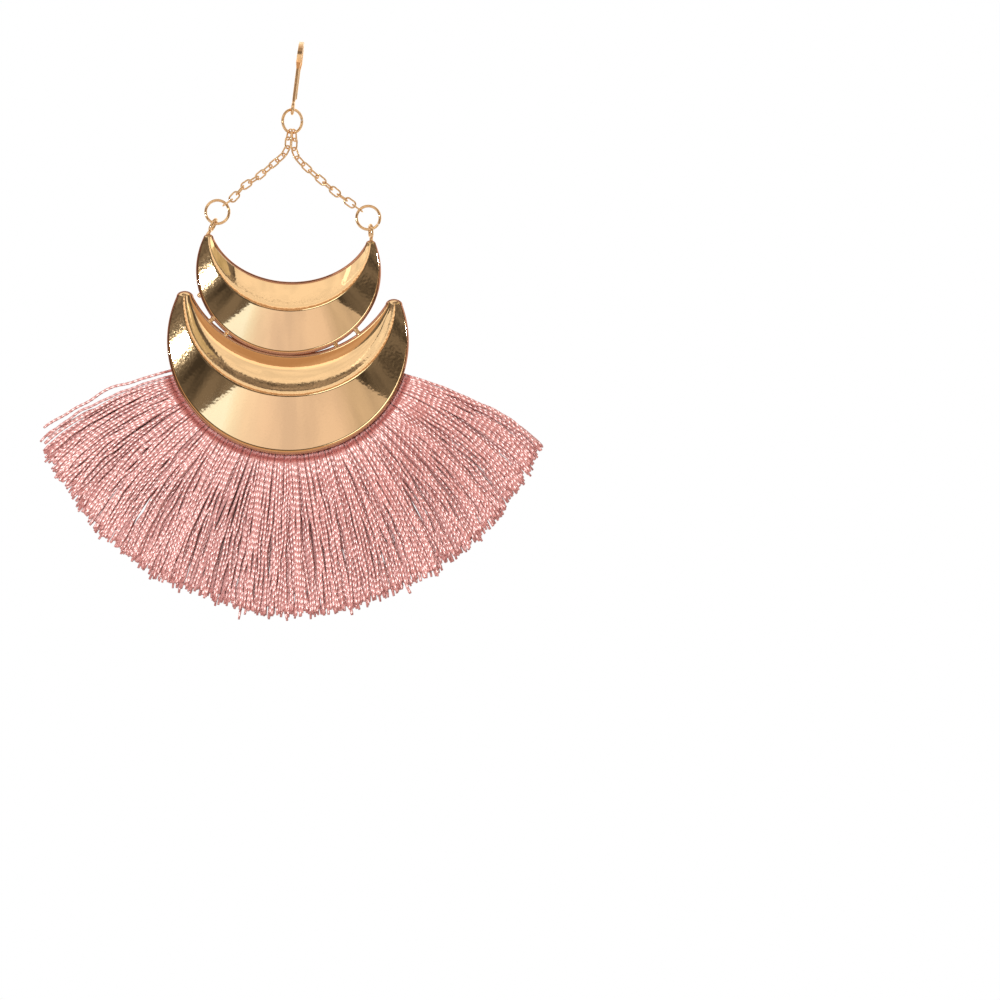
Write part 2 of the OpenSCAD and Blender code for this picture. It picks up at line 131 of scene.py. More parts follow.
depth_ramp.color_ramp.elements[0].position = ROOM_FROM_FRONT_TO_BACK[0][0]
depth_ramp.color_ramp.elements[1].position = ROOM_FROM_FRONT_TO_BACK[-1][0]
for place, _ in ROOM_FROM_FRONT_TO_BACK[1:-1]:
    depth_ramp.color_ramp.elements.new(place)
for stop, (_, tone) in zip(depth_ramp.color_ramp.elements, ROOM_FROM_FRONT_TO_BACK):
    stop.color = (*tone, 1)
link = room_tree.links.new
link(direction.outputs["Generated"], parts.inputs[0])
link(parts.outputs["Y"], spread.inputs["Value"])
link(spread.outputs["Result"], depth_ramp.inputs["Fac"])
unevenness = room_node("ShaderNodeTexNoise")
unevenness.inputs["Scale"].default_value = 9.0
unevenness.inputs["Detail"].default_value = 3.0
uneven_light = room_node("ShaderNodeMapRange")
for label, value in (("From Min", 0.38), ("From Max", 0.62), ("To Min", 0.50), ("To Max", 2.1)):
    uneven_light.inputs[label].default_value = value
link(direction.outputs["Generated"], unevenness.inputs["Vector"])
link(unevenness.outputs["Fac"], uneven_light.inputs["Value"])
link(uneven_light.outputs["Result"], lit.inputs["Strength"])
link(depth_ramp.outputs["Color"], lit.inputs["Color"])
link(path.outputs["Is Camera Ray"], choose.inputs["Fac"])
link(lit.outputs["Background"], choose.inputs[1])
link(seen.outputs["Background"], choose.inputs[2])
link(choose.outputs["Shader"], world_out.inputs["Surface"])
print("room tones from front to back:", len(ROOM_FROM_FRONT_TO_BACK))

# %% [markdown]
# Then come the cards and the lamps. The outer faces of the crescents lean a little outwards,
# so at the bottom they mirror what is low in front of them. A large card there makes them
# peach. It is tilted a little, and its tone changes from left to right. Cards high in front
# fill the hollow coves, and a small bright lamp at the left makes the glints on the left
# horns. A mirror shows how bright a lamp's surface is, so that is what we give each lamp.

# %% Hang the cards and the lamps
EARRING_MIDDLE = Vector((0, -4.5, -62)) * MM


def soft_lamp(name, place, size, brightness, tone, roll=0.0):
    """An area lamp whose surface is as bright as given, aimed at the crescents."""
    data = bpy.data.lights.new(name, "AREA")
    data.shape = "RECTANGLE"
    data.size, data.size_y = size
    data.color = tone
    data.energy = brightness * math.pi * size[0] * size[1]
    lamp = bpy.data.objects.new(name, data)
    scene.collection.objects.link(lamp)
    lamp.location = EARRING_MIDDLE + Vector(place)
    lamp.rotation_mode = "QUATERNION"
    aim = (-Vector(place)).to_track_quat("-Z", "Y")
    lamp.rotation_quaternion = aim @ Quaternion((0, 0, 1), math.radians(roll))
    lamp.visible_camera = False
    return lamp


def fade_across(lamp, stops):
    """Lets a lamp's colour change from its left side to its right side."""
    lamp.data.use_nodes = True
    tree = lamp.data.node_tree
    glow = tree.nodes["Emission"]
    place = tree.nodes.new("ShaderNodeNewGeometry")
    split = tree.nodes.new("ShaderNodeSeparateXYZ")
    ramp = tree.nodes.new("ShaderNodeValToRGB")
    for _ in stops[2:]:
        ramp.color_ramp.elements.new(0.5)
    for stop, (across, tone) in zip(ramp.color_ramp.elements, stops):
        stop.position = across
        stop.color = (*tone, 1)
    tree.links.new(place.outputs["Parametric"], split.inputs[0])
    tree.links.new(split.outputs["X"], ramp.inputs["Fac"])
    tree.links.new(ramp.outputs["Color"], glow.inputs["Color"])


CARD_TONES = [
    (0.305, (0.62, 0.72, 0.82)), (0.330, (0.58, 0.61, 0.63)), (0.365, (0.54, 0.50, 0.50)),
    (0.43, (0.475, 0.41, 0.415)), (0.64, (0.44, 0.37, 0.355)), (0.70, (0.33, 0.28, 0.245)),
]
peach_card = soft_lamp(
    "low_peach_card", (0.01, -0.503, -0.327), (0.84, 0.349), 1.66, (1, 1, 1), roll=5.6)
fade_across(peach_card, CARD_TONES)
soft_lamp("front_card", (0.02, -0.62, 0.06), (0.22, 0.28), 0.50, (1.0, 0.56, 0.30))
soft_lamp("high_warm_card", (-0.05, -0.46, 0.295), (0.50, 0.36), 0.87, (1.0, 0.89, 0.78))
soft_lamp("left_high_card", (-0.42, -0.30, 0.32), (0.36, 0.26), 0.80, (1.0, 0.93, 0.84))
soft_lamp("right_high_card", (0.42, -0.30, 0.32), (0.36, 0.26), 0.42, (1.0, 0.85, 0.50))
soft_lamp("sun", (-0.43, -0.62, -0.045), (0.028, 0.03), 420.0, (1.0, 0.98, 0.95))
soft_lamp("crest_glint", (0.094, -0.66, -0.058), (0.142, 0.093), 2.2, (0.9, 1.0, 0.95))
soft_lamp("right_fill", (0.50, -0.20, 0.10), (0.20, 0.40), 0.9, (1.0, 0.95, 0.90))

# %% [markdown]
# The floor is a pale disc far under the earring. It is small enough to stay out of the
# photograph's view, which is all white, and it grounds the views from above.

# %% Lay the floor
FLOOR_R, FLOOR_Z = 0.40, -0.26
floor_mesh = bpy.data.meshes.new("floor")
floor_shape = bmesh.new()
bmesh.ops.create_circle(floor_shape, cap_ends=True, radius=FLOOR_R, segments=96)
floor_shape.to_mesh(floor_mesh)
floor_shape.free()
floor = bpy.data.objects.new("floor", floor_mesh)
scene.collection.objects.link(floor)
floor.location = (0, 0, FLOOR_Z)
floor_paint = bpy.data.materials.new("pale_floor")
floor_paint.use_nodes = True
floor_surface = floor_paint.node_tree.nodes["Principled BSDF"]
floor_surface.inputs["Base Color"].default_value = (0.9, 0.9, 0.9, 1)
floor_surface.inputs["Roughness"].default_value = 0.8
floor_mesh.materials.append(floor_paint)
print("floor at", floor.location.z)

# %% [markdown]
# ## Helpers
#
# Four small helpers do the repeated work. One turns arrays of points and faces into an
# object, and may write marks on its points for a material to read. One joins rings of points
# into a wall, one sweeps a round wire along a line, and one makes several shapes one.

# %% Turn arrays into pieces


def new_piece(name, points, faces, material, body, replaced=None, sharp=None, marks=None):
    mesh = bpy.data.meshes.new(name)
    mesh.from_pydata(np.asarray(points, float).tolist(), [], [tuple(map(int, f)) for f in faces])
    mesh.validate()
    mesh.update()
    for mark, values in (marks or {}).items():
        mesh.attributes.new(mark, "FLOAT", "POINT").data.foreach_set("value", values)
    mesh.materials.append(material)
    mesh.shade_smooth()
    if sharp:
        mesh.set_sharp_from_angle(angle=math.radians(sharp))
    piece = bpy.data.objects.new(name, mesh)
    scene.collection.objects.link(piece)
    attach(piece, body)
    if replaced:
        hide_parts(replaced)
    print(name, "-", len(mesh.polygons), "faces")
    return piece


def ring_walls(rows, columns, closed_rows=False):
    """Quads between rows of points, each row a closed ring."""
    faces = []
    for r in range(rows if closed_rows else rows - 1):
        a, b = r * columns, (r + 1) % rows * columns
        for c in range(columns):
            d = (c + 1) % columns
            faces.append((a + c, a + d, b + d, b + c))
    return faces


def wire(line, radius, sides=16, closed=False):
    """A round wire along a line. radius is one number or one for each point."""
    line = np.asarray(line, float)
    radius = np.broadcast_to(np.asarray(radius, float), len(line))
    if closed:
        ahead = np.roll(line, -1, 0) - np.roll(line, 1, 0)
    else:
        ahead = np.gradient(line, axis=0)
    ahead /= np.linalg.norm(ahead, axis=1)[:, None]
    turn = np.linspace(0, 2 * math.pi, sides, endpoint=False)
    side = np.cross(ahead[0], [0.31, 0.9, 0.3])
    points = []
    for here, way, r in zip(line, ahead, radius):
        side = side - way * (side @ way)
        side /= np.linalg.norm(side)
        other = np.cross(way, side)
        points.append(here + r * (np.cos(turn)[:, None] * side + np.sin(turn)[:, None] * other))
    points = np.concatenate(points)
    faces = ring_walls(len(line), sides, closed)
    if not closed:
        faces += [tuple(range(sides))[::-1], tuple(range(len(points) - sides, len(points)))]
    return points, faces


def merged(shapes):
    """Several sets of points and faces as one."""
    points, faces, first = [], [], 0
    for p, f in shapes:
        points.append(np.asarray(p))
        faces += [tuple(i + first for i in face) for face in f]
        first += len(p)
    return np.concatenate(points), faces


print("helpers ready")

# %% [markdown]
# ## Gold finish
#
# The crescents have a thin pale gold plating, polished but not perfect: a soft orange-peel
# ripple, satin places, and edges worn to copper. The wires have the same plating on a
# rounder, rougher surface. Both materials use one node group, so we build that once. These
# two helpers make a group with named sockets, and add a node with its values.

# %% Helpers for node groups


def new_group(name, inputs, outputs):
    group = bpy.data.node_groups.new(name, "ShaderNodeTree")
    for label, kind, value in inputs:
        socket = group.interface.new_socket(label, in_out="INPUT", socket_type=kind)
        socket.default_value = value
    for label, kind in outputs:
        group.interface.new_socket(label, in_out="OUTPUT", socket_type=kind)
    nodes = group.nodes
    return group, nodes.new("NodeGroupInput"), nodes.new("NodeGroupOutput")


def add(tree, kind, values=None, **settings):
    node = tree.nodes.new(kind)
    for name, value in settings.items():
        setattr(node, name, value)
    for socket, value in (values or {}).items():
        node.inputs[socket].default_value = value
    return node


print("node helpers ready")

# %% [markdown]
# The group gives a colour, a roughness and a height, all of them changing over the surface,
# and each material decides what to do with them. Soft clouds mix a pale and a deeper gold.
# The mark "wear" brings in the copper, and the mark "brushed" makes the metal rougher and its
# ripple stronger. A piece without the marks has neither.

# %% Build the plating group
plating, plating_in, plating_out = new_group(
    "plating",
    [
        ("Pale", "NodeSocketColor", (0.9, 0.7, 0.4, 1)),
        ("Deep", "NodeSocketColor", (0.8, 0.55, 0.25, 1)),
        ("Worn", "NodeSocketColor", (0.7, 0.36, 0.16, 1)),
        ("Smooth", "NodeSocketFloat", 0.12),
        ("Cloudy", "NodeSocketFloat", 0.26),
        ("Brushed", "NodeSocketFloat", 0.26),
        ("Everywhere", "NodeSocketFloat", 0.0),
        ("Cloud Scale", "NodeSocketFloat", 90.0),
        ("Peel Scale", "NodeSocketFloat", 900.0),
    ],
    [("Color", "NodeSocketColor"), ("Roughness", "NodeSocketFloat"), ("Height", "NodeSocketFloat")],
)
on_metal = add(plating, "ShaderNodeTexCoord")
clouds = add(plating, "ShaderNodeTexNoise", {"Detail": 6.0, "Roughness": 0.65})
peel = add(plating, "ShaderNodeTexNoise", {"Detail": 0.0, "Roughness": 0.5})
cloud_mask = add(plating, "ShaderNodeMapRange", {"From Min": 0.48, "From Max": 0.68})
brushing = add(plating, "ShaderNodeAttribute", attribute_name="brushed")
brushed_part = add(plating, "ShaderNodeMath", operation="ADD", use_clamp=True)
brushed_haze = add(plating, "ShaderNodeMapRange", {"From Min": 0.0, "From Max": 1.0})
peel_part = add(plating, "ShaderNodeMath", {1: 0.10}, operation="ADD")
peel_height = add(plating, "ShaderNodeMath", operation="MULTIPLY")
tone = add(plating, "ShaderNodeMix", data_type="RGBA")
wear = add(plating, "ShaderNodeAttribute", attribute_name="wear")
worn_tone = add(plating, "ShaderNodeMix", data_type="RGBA")
haze = add(plating, "ShaderNodeMapRange", {"From Min": 0.0, "From Max": 1.0})
join = plating.links.new
for noise, scale in ((clouds, "Cloud Scale"), (peel, "Peel Scale")):
    join(on_metal.outputs["Object"], noise.inputs["Vector"])
    join(plating_in.outputs[scale], noise.inputs["Scale"])
join(clouds.outputs["Fac"], cloud_mask.inputs["Value"])
join(cloud_mask.outputs["Result"], tone.inputs["Factor"])
join(plating_in.outputs["Pale"], tone.inputs["A"])
join(plating_in.outputs["Deep"], tone.inputs["B"])
join(wear.outputs["Fac"], worn_tone.inputs["Factor"])
join(tone.outputs["Result"], worn_tone.inputs["A"])
join(plating_in.outputs["Worn"], worn_tone.inputs["B"])
join(worn_tone.outputs["Result"], plating_out.inputs["Color"])
join(cloud_mask.outputs["Result"], haze.inputs["Value"])
join(plating_in.outputs["Brushed"], haze.inputs["To Min"])
join(plating_in.outputs["Cloudy"], haze.inputs["To Max"])
join(brushing.outputs["Fac"], brushed_part.inputs[0])
join(plating_in.outputs["Everywhere"], brushed_part.inputs[1])
join(brushed_part.outputs[0], brushed_haze.inputs["Value"])
join(plating_in.outputs["Smooth"], brushed_haze.inputs["To Min"])
join(haze.outputs["Result"], brushed_haze.inputs["To Max"])
join(brushed_haze.outputs["Result"], plating_out.inputs["Roughness"])
join(brushed_part.outputs[0], peel_part.inputs[0])
join(peel.outputs["Fac"], peel_height.inputs[0])
join(peel_part.outputs[0], peel_height.inputs[1])
join(peel_height.outputs[0], plating_out.inputs["Height"])
print("plating group:", len(plating.nodes), "nodes")

# %% [markdown]
# Each gold places the group with values of its own. The metal itself is a constant, set on
# the shader. The ripple is a few millionths of a metre high, because even that bends a mirror
# image visibly.

# %% Mix the two golds


def plated(name, values, ripple):
    """A gold material that places the plating group with its own values."""
    material = bpy.data.materials.new(name)
    material.use_nodes = True
    tree = material.node_tree
    surface = tree.nodes["Principled BSDF"]
    surface.inputs["Metallic"].default_value = 1.0
    group = add(tree, "ShaderNodeGroup", node_tree=plating)
    for label, value in values.items():
        group.inputs[label].default_value = value
    bump = add(tree, "ShaderNodeBump", {"Strength": 1.0, "Distance": ripple})
    tree.links.new(group.outputs["Color"], surface.inputs["Base Color"])
    tree.links.new(group.outputs["Roughness"], surface.inputs["Roughness"])
    tree.links.new(group.outputs["Height"], bump.inputs["Height"])
    tree.links.new(bump.outputs["Normal"], surface.inputs["Normal"])
    return material


sheet_gold = plated(
    "gold_sheet",
    {
        "Pale": (0.90, 0.66, 0.38, 1), "Deep": (0.885, 0.645, 0.368, 1), "Worn": (0.47, 0.21, 0.13, 1),
        "Smooth": 0.035, "Brushed": 0.11, "Cloudy": 0.24, "Everywhere": 0.02,
        "Cloud Scale": 3200.0, "Peel Scale": 1900.0,
    },
    0.000014,
)
wire_gold = plated(
    "gold_wire",
    {
        "Pale": (0.90, 0.63, 0.36, 1), "Deep": (0.80, 0.52, 0.27, 1),
        "Smooth": 0.14, "Brushed": 0.14, "Cloudy": 0.26, "Everywhere": 1.0,
        "Cloud Scale": 500.0, "Peel Scale": 2600.0,
    },
    0.000003,
)
print("gold materials:", sheet_gold.name, wire_gold.name)

# %% [markdown]
# The wire pieces of the CAD model are right as they are, so they keep their meshes. They only
# need the gold and smooth shading.

# %% Gild the CAD wires
WIRE_NODES = ["ear_hook", "top_ring", "chain_left", "chain_right", "ring_left", "ring_right"]
for name in WIRE_NODES:
    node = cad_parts[name]
    node.data.materials.clear()
    node.data.materials.append(wire_gold)
    node.data.shade_smooth()
    node.data.set_sharp_from_angle(angle=math.radians(40))
print("gilded:", WIRE_NODES)

# %% [markdown]
# ## Crescents
#
# Each crescent is stamped from one sheet. From its inner edge a hollow cove climbs, ever
# steeper, and rolls over flat at the ridge. From there the almost flat outer face slopes down
# to the outer edge. A bead runs along both edges and round the blunt horns. Three ellipses
# give the inner edge, the ridge and the outer edge. The main sizes are those of the CAD model,
# in millimetres. The border and its bead are finer here, 0.55 mm wide and 0.06 mm high
# against 0.7 and 0.16, and the upper crescent rises 0.1 mm less.

# %% Sizes of the crescents
DROP_Y = -3.925
BACK_Y = DROP_Y + 0.5
EDGE, METAL, BORDER, BEAD = 1.1, 0.95, 0.55, 0.06
LOWER = {
    "x": -0.3, "z": -56.625, "wide": 23.0, "high": 21.6, "band": 19.1, "tip": 7.7, "rise": 2.0,
    "inner": (0.91, 0.925), "ridge": (0.872, 0.795), "ridge_at": 0.412,
    "edge_slope": 0.05, "steep": 0.63, "bend": 1.9, "roll": 1.2,
}
UPPER = {
    "x": -0.7, "z": -43.325, "wide": 17.6, "high": 16.0, "band": 14.0, "tip": 5.8, "rise": 1.7,
    "inner": (0.88, 0.757), "ridge": (0.87, 0.842), "ridge_at": 0.39,
    "edge_slope": 0.36, "steep": 0.42, "bend": 1.0, "roll": 1.2,
}


def crescent_lines(c):
    """Inner edge, ridge and outer edge as ellipses: middle x and z, half width and height."""
    lowest = c["z"] - c["high"]
    lines = {"outer": (c["x"], c["z"], c["wide"], c["high"])}
    for name, share_up in (("inner", 1.0), ("ridge", 1 - c["ridge_at"])):
        wide, high = c[name][0] * c["wide"], c[name][1] * c["high"]
        lines[name] = (c["x"], lowest + c["band"] * share_up + high, wide, high)
    return lines


def on_line(line, angle):
    x, z, wide, high = line
    return np.array([x + wide * math.sin(angle), z - high * math.cos(angle)])


def at_share(c, line, share):
    """The point at a share of the way from the lowest point to the horn, -1 at the left."""
    x, z, wide, high = line
    return on_line(line, share * math.acos((z - c["z"] - c["tip"]) / high))


for c in (LOWER, UPPER):
    c["lines"] = crescent_lines(c)
print("lower band", LOWER["band"], "mm, upper band", UPPER["band"], "mm")

# %% [markdown]
# We draw half a section from the ridge down to each edge, sweep both halves along the
# crescent, and turn one into the other round each horn, so that the bead runs on without a
# break. Both halves have the same number of points, which is what lets one turn into the
# other. Distances run from the ridge outwards, heights from the flat back. A sheet thinner
# than its rise leaves the back hollow.

# %% Draw the half sections
FACE_POINTS, BEAD_POINTS, LIP_POINTS, BACK_POINTS = 34, 12, 3, 8
HALF_POINTS = FACE_POINTS + BEAD_POINTS + LIP_POINTS + BACK_POINTS
CROWD_AT_RIDGE = {"inner": 1.25, "outer": 1.6}
CREST_SLOPE, CREST_SOFT, BELLY, ROLL_MOST = 0.02, 0.28, 0.05, 0.42
RISE_POWER, BORDER_MOST, UNDER_BORDER = 0.92, 0.14, 1.1
BEAD_SHAPE, BEAD_ENDS, EDGE_DIPS, LIP_HIGH = 1.1, 0.30, 0.42, 0.3
HOLLOW_FROM, HOLLOW_FULL = 3, 6


def inner_face(t, flat, c):
    """Share of the rise at a share t of the way from the inner edge to the ridge."""
    roll = min(c["roll"] / flat, ROLL_MOST)
    q = np.linspace(0, 1, 241)
    near = np.clip(q / roll, 0, 1)
    slope = CREST_SLOPE + (c["steep"] - CREST_SLOPE) * near**2 * (3 - 2 * near)
    far = np.clip((1 - q) / (1 - roll), 0, 1)
    cove = c["edge_slope"] + (c["steep"] - c["edge_slope"]) * far ** c["bend"]
    slope = np.where(q > roll, cove, slope)
    fallen = np.concatenate([[0], np.cumsum((slope[1:] + slope[:-1]) / 2)])
    return np.interp(1 - t, q, 1 - fallen / fallen[-1])


def outer_face(t, flat, c):
    """The outer face, hardly bellied, and rounded where it meets the ridge."""
    soft = CREST_SOFT / flat
    over = np.clip((t - 1 + soft) / soft, 0, 1)
    return t + BELLY * t * (1 - t) - soft * over**2 / 2


def half_section(c, run, side):
    """Distances from the ridge and heights, for the inner half or the outer half."""
    width = c["width"]
    thick = c["rise"] * (width / c["band"]) ** RISE_POWER
    border = min(BORDER, width * BORDER_MOST)
    flat = run - border
    climb = inner_face if side == "inner" else outer_face
    far = flat * np.linspace(0, 1, FACE_POINTS) ** CROWD_AT_RIDGE[side]
    t = 1 - far / flat
    top = climb(np.ones(1), flat, c)[0]
    high = EDGE + thick * (climb(t, flat, c) - (top - 1) * t)
    turn = np.linspace(0, 1, BEAD_POINTS + 1)[1:]
    bead_out = flat + border * np.sin(turn * math.pi / 2) ** BEAD_SHAPE
    bead_high = EDGE + BEAD * np.sin(np.minimum(turn * 2.2, 1) * math.pi) ** 2
    bead_high = bead_high - EDGE_DIPS * np.clip((turn - BEAD_ENDS) / (1 - BEAD_ENDS), 0, 1) ** 2.2
    hollow = min(1, max(0, (width - HOLLOW_FROM) / (HOLLOW_FULL - HOLLOW_FROM)))
    inward = np.linspace(run - UNDER_BORDER * border, 0, BACK_POINTS)
    share = np.clip(1 - inward / flat, 0, 1)
    under = (EDGE + thick * climb(share, flat, c) - METAL) * hollow
    out = np.concatenate([far, bead_out, [run, run, run - UNDER_BORDER * border], inward])
    up = np.concatenate([high, bead_high, [EDGE * LIP_HIGH, 0, 0], under])
    return out, up


print("points in a half section:", HALF_POINTS)

# %% [markdown]
# Along the crescent, the two halves and their hidden backs make one closed ring. Round a
# horn, the inner half swings about the ridge's end until it is the outer half.

# %% Sweep along the crescent and round the horns
STEPS_ALONG, STEPS_ROUND, CAP_FLAT = 240, 28, 0.68


def feet_and_crest(c, share):
    """The feet and the crest of the section at a share of the way along. c keeps its width."""
    foot_in, crest, foot_out = (at_share(c, c["lines"][k], share) for k in ("inner", "ridge", "outer"))
    c["width"] = np.linalg.norm(foot_out - foot_in)
    return foot_in, crest, foot_out


def crescent_ring(c, share):
    foot_in, crest, foot_out = feet_and_crest(c, share)
    halves = []
    for foot, side in ((foot_in, "inner"), (foot_out, "outer")):
        run = np.linalg.norm(foot - crest)
        out, up = half_section(c, run, side)
        plan = crest + np.outer(out, (foot - crest) / run)
        halves.append(np.column_stack([plan[:, 0], BACK_Y - up, plan[:, 1]]))
    return np.concatenate([halves[0], halves[1][-2:0:-1]])


def horn_cap(c, end):
    foot_in, crest, foot_out = feet_and_crest(c, end)
    start, finish = foot_in - crest, foot_out - crest
    a0, a1 = math.atan2(start[1], start[0]), math.atan2(finish[1], finish[0])
    if end > 0:
        a1 -= 2 * math.pi * (a1 > a0)
    else:
        a1 += 2 * math.pi * (a1 < a0)
    in_out, in_up = half_section(c, np.linalg.norm(start), "inner")
    out_out, out_up = half_section(c, np.linalg.norm(finish), "outer")
    cap = []
    for t in np.linspace(0, 1, STEPS_ROUND + 1):
        out, up = in_out * (1 - t) + out_out * t, in_up * (1 - t) + out_up * t
        a = a0 + (a1 - a0) * t
        flatter = 1 / math.hypot(math.cos(math.pi * t), math.sin(math.pi * t) / CAP_FLAT)
        cap.append(np.column_stack([
            crest[0] + out * flatter * math.cos(a), BACK_Y - up,
            crest[1] + out * flatter * math.sin(a)]))
    n = len(cap[0])
    faces = []
    for r in range(STEPS_ROUND):
        for k in range(n - 1):
            quad = (r * n + k, r * n + k + 1, (r + 1) * n + k + 1, (r + 1) * n + k)
            faces.append(quad if end < 0 else quad[::-1])
    return np.concatenate(cap), faces


print("sections along a crescent:", STEPS_ALONG + 1)

# %% [markdown]
# The plating wears off where things rub, so the bead is marked as worn. The cove is brushed
# next to the ridge, as if a polishing wheel had not reached there, and the flanks near the
# horns are slightly brushed too. A mark is one number for each point of the mesh.

# %% Mark the worn and the brushed places
BEAD_WEAR = 0.9
COVE_BRUSHED_TO, COVE_FADE = 0.60, 0.35
HORN_BRUSHED, HORN_FROM, HORN_FADE = 0.55, 0.56, 0.10
WEAR, BRUSHED, FLANK = np.zeros(HALF_POINTS), np.zeros(HALF_POINTS), np.zeros(HALF_POINTS)
WEAR[FACE_POINTS:FACE_POINTS + BEAD_POINTS + LIP_POINTS] = BEAD_WEAR
from_ridge = np.linspace(0, 1, FACE_POINTS) ** CROWD_AT_RIDGE["inner"]
BRUSHED[:FACE_POINTS] = np.clip((COVE_BRUSHED_TO - from_ridge) / COVE_FADE, 0, 1)
FLANK[:FACE_POINTS] = 1


def crescent_marks(rings):
    """How worn and how brushed each point is: first the sweep, then the two horns."""
    along = np.abs(np.linspace(-1, 1, rings))
    near_horn = HORN_BRUSHED * np.clip((along - HORN_FROM) / HORN_FADE, 0, 1)
    wear = [np.tile(np.concatenate([WEAR, WEAR[-2:0:-1]]), rings)]
    brushed = [np.concatenate([BRUSHED, FLANK[-2:0:-1] * share]) for share in near_horn]
    for _ in ("left horn", "right horn"):
        wear.append(np.tile(WEAR, STEPS_ROUND + 1))
        brushed += [BRUSHED * (1 - t) for t in np.linspace(0, 1, STEPS_ROUND + 1)]
    return np.concatenate(wear), np.concatenate(brushed)


print("most worn:", WEAR.max(), "most brushed:", BRUSHED.max())

# %% [markdown]
# Last, the sweep and its two horns become one mesh. Their points lie on each other where they
# meet, so we weld them. A closed skin has no open edges, and the print says whether that is so.

# %% Make the crescents


def crescent_shape(c):
    shares = [2 * i / STEPS_ALONG for i in range(-STEPS_ALONG // 2, STEPS_ALONG // 2 + 1)]
    rings = [crescent_ring(c, share) for share in shares]
    sweep = (np.concatenate(rings), ring_walls(len(rings), len(rings[0])))
    return *merged([sweep, horn_cap(c, -1), horn_cap(c, 1)]), *crescent_marks(len(rings))


def welded(piece, gap=0.000002):
    """Joins the doubled points where the horns meet the sweep, and turns faces outwards."""
    shape = bmesh.new()
    shape.from_mesh(piece.data)
    bmesh.ops.remove_doubles(shape, verts=shape.verts, dist=gap)
    bmesh.ops.dissolve_degenerate(shape, edges=shape.edges, dist=gap / 4)
    bmesh.ops.recalc_face_normals(shape, faces=shape.faces)
    open_edges = sum(1 for e in shape.edges if not e.is_manifold)
    shape.to_mesh(piece.data)
    shape.free()
    piece.data.shade_smooth()
    piece.data.set_sharp_from_angle(angle=math.radians(38))
    print(piece.name, "open edges:", open_edges)


for name, c in (("lower_crescent", LOWER), ("upper_crescent", UPPER)):
    points, faces, wear, brushed = crescent_shape(c)
    welded(new_piece(
        name, points * MM, faces, sheet_gold, "pendant", "crescents",
        marks={"wear": wear, "brushed": brushed}))

# %% [markdown]
# ## Lugs
#
# A long wire loop stands on a short stem on each upper horn and holds a jump ring. It could
# be a torus, stretched, but then its wire would be stretched as well. So we sweep a round
# wire along two half circles and the straights between them. The stem widens at both ends,
# as solder does where it creeps along the metal.

# %% Make the lugs
LUG_WIRE, LUG_WIDE, LUG_HOLE, LUG_TURN = 0.6, 2.3, 1.75, 16.0
RING_REST = 0.475
PIVOT_HALF_SPAN, PIVOT_X, PIVOT_Z = 14.9, -0.3, -34.75
HORN_CAP_TURN = 55
STEM_SUNK, STEM_LAP = 0.45, 0.2
STEM_R, STEM_FOOT, STEM_HEAD = 0.27, 0.15, 0.16


def unit(v):
    return np.asarray(v, float) / np.linalg.norm(v)


def lug_shape(side):
    pivot = np.array([side * PIVOT_HALF_SPAN + PIVOT_X, DROP_Y, PIVOT_Z])
    foot_in, foot_out = (at_share(UPPER, UPPER["lines"][k], side) for k in ("inner", "outer"))
    crest, short = (at_share(UPPER, UPPER["lines"]["ridge"], side * s) for s in (1, 0.98))
    onward = (foot_in + foot_out) / 2 + unit(crest - short) * (
        np.linalg.norm(foot_out - foot_in) / 2 * math.sin(math.radians(HORN_CAP_TURN)))
    horn = np.array([onward[0], DROP_Y, onward[1]])
    up = unit(pivot - horn)
    facing = unit(np.cross([0, 1, 0], up))
    deep = np.cross(up, facing)
    turn = math.radians(side * LUG_TURN)
    hole_way = facing * math.cos(turn) + deep * math.sin(turn)
    across = np.cross(hole_way, up)
    middle = pivot + up * (RING_REST - LUG_HOLE / 2)
    r = (LUG_WIDE - LUG_WIRE) / 2
    half = (LUG_HOLE + LUG_WIRE) / 2 - r
    bend = np.linspace(0, math.pi, 25)
    top = [middle + across * r * math.cos(a) + up * (half + r * math.sin(a)) for a in bend]
    low = [middle - across * r * math.cos(a) - up * (half + r * math.sin(a)) for a in bend]
    loop = wire(top + low, LUG_WIRE / 2, 20, closed=True)
    reach = np.linalg.norm(middle - horn) - (LUG_HOLE + LUG_WIRE) / 2 + STEM_SUNK
    steps = np.linspace(0, 1, 17)
    line = horn - up * STEM_SUNK + np.outer(steps * (reach + STEM_LAP), up)
    neck = STEM_R + STEM_FOOT * (1 - steps) + STEM_HEAD * np.clip(steps - 0.75, 0, 1) ** 1.5
    return merged([loop, wire(line, neck, 20)])


for label, side in (("lug_left", -1), ("lug_right", 1)):
    points, faces = lug_shape(side)
    new_piece(label, points * MM, faces, wire_gold, "pendant", "crescents", sharp=60)

# %% [markdown]
# Four short bars tie the crescents together where they part. Each runs from a point of the
# lower crescent's inner edge towards the middle of that ellipse, as far as the upper crescent,
# and we find its length by solving for where a line meets an ellipse. Its ends sink into both
# crescents, and widen into little feet.

# %% Make the solder bars
BAR_ANGLES = [-45, -34, 26, 39.5]
BAR_SUNK, BAR_R, BAR_FOOT = 0.5, 0.44, 0.20
SOLDER_Y = BACK_Y - EDGE / 2


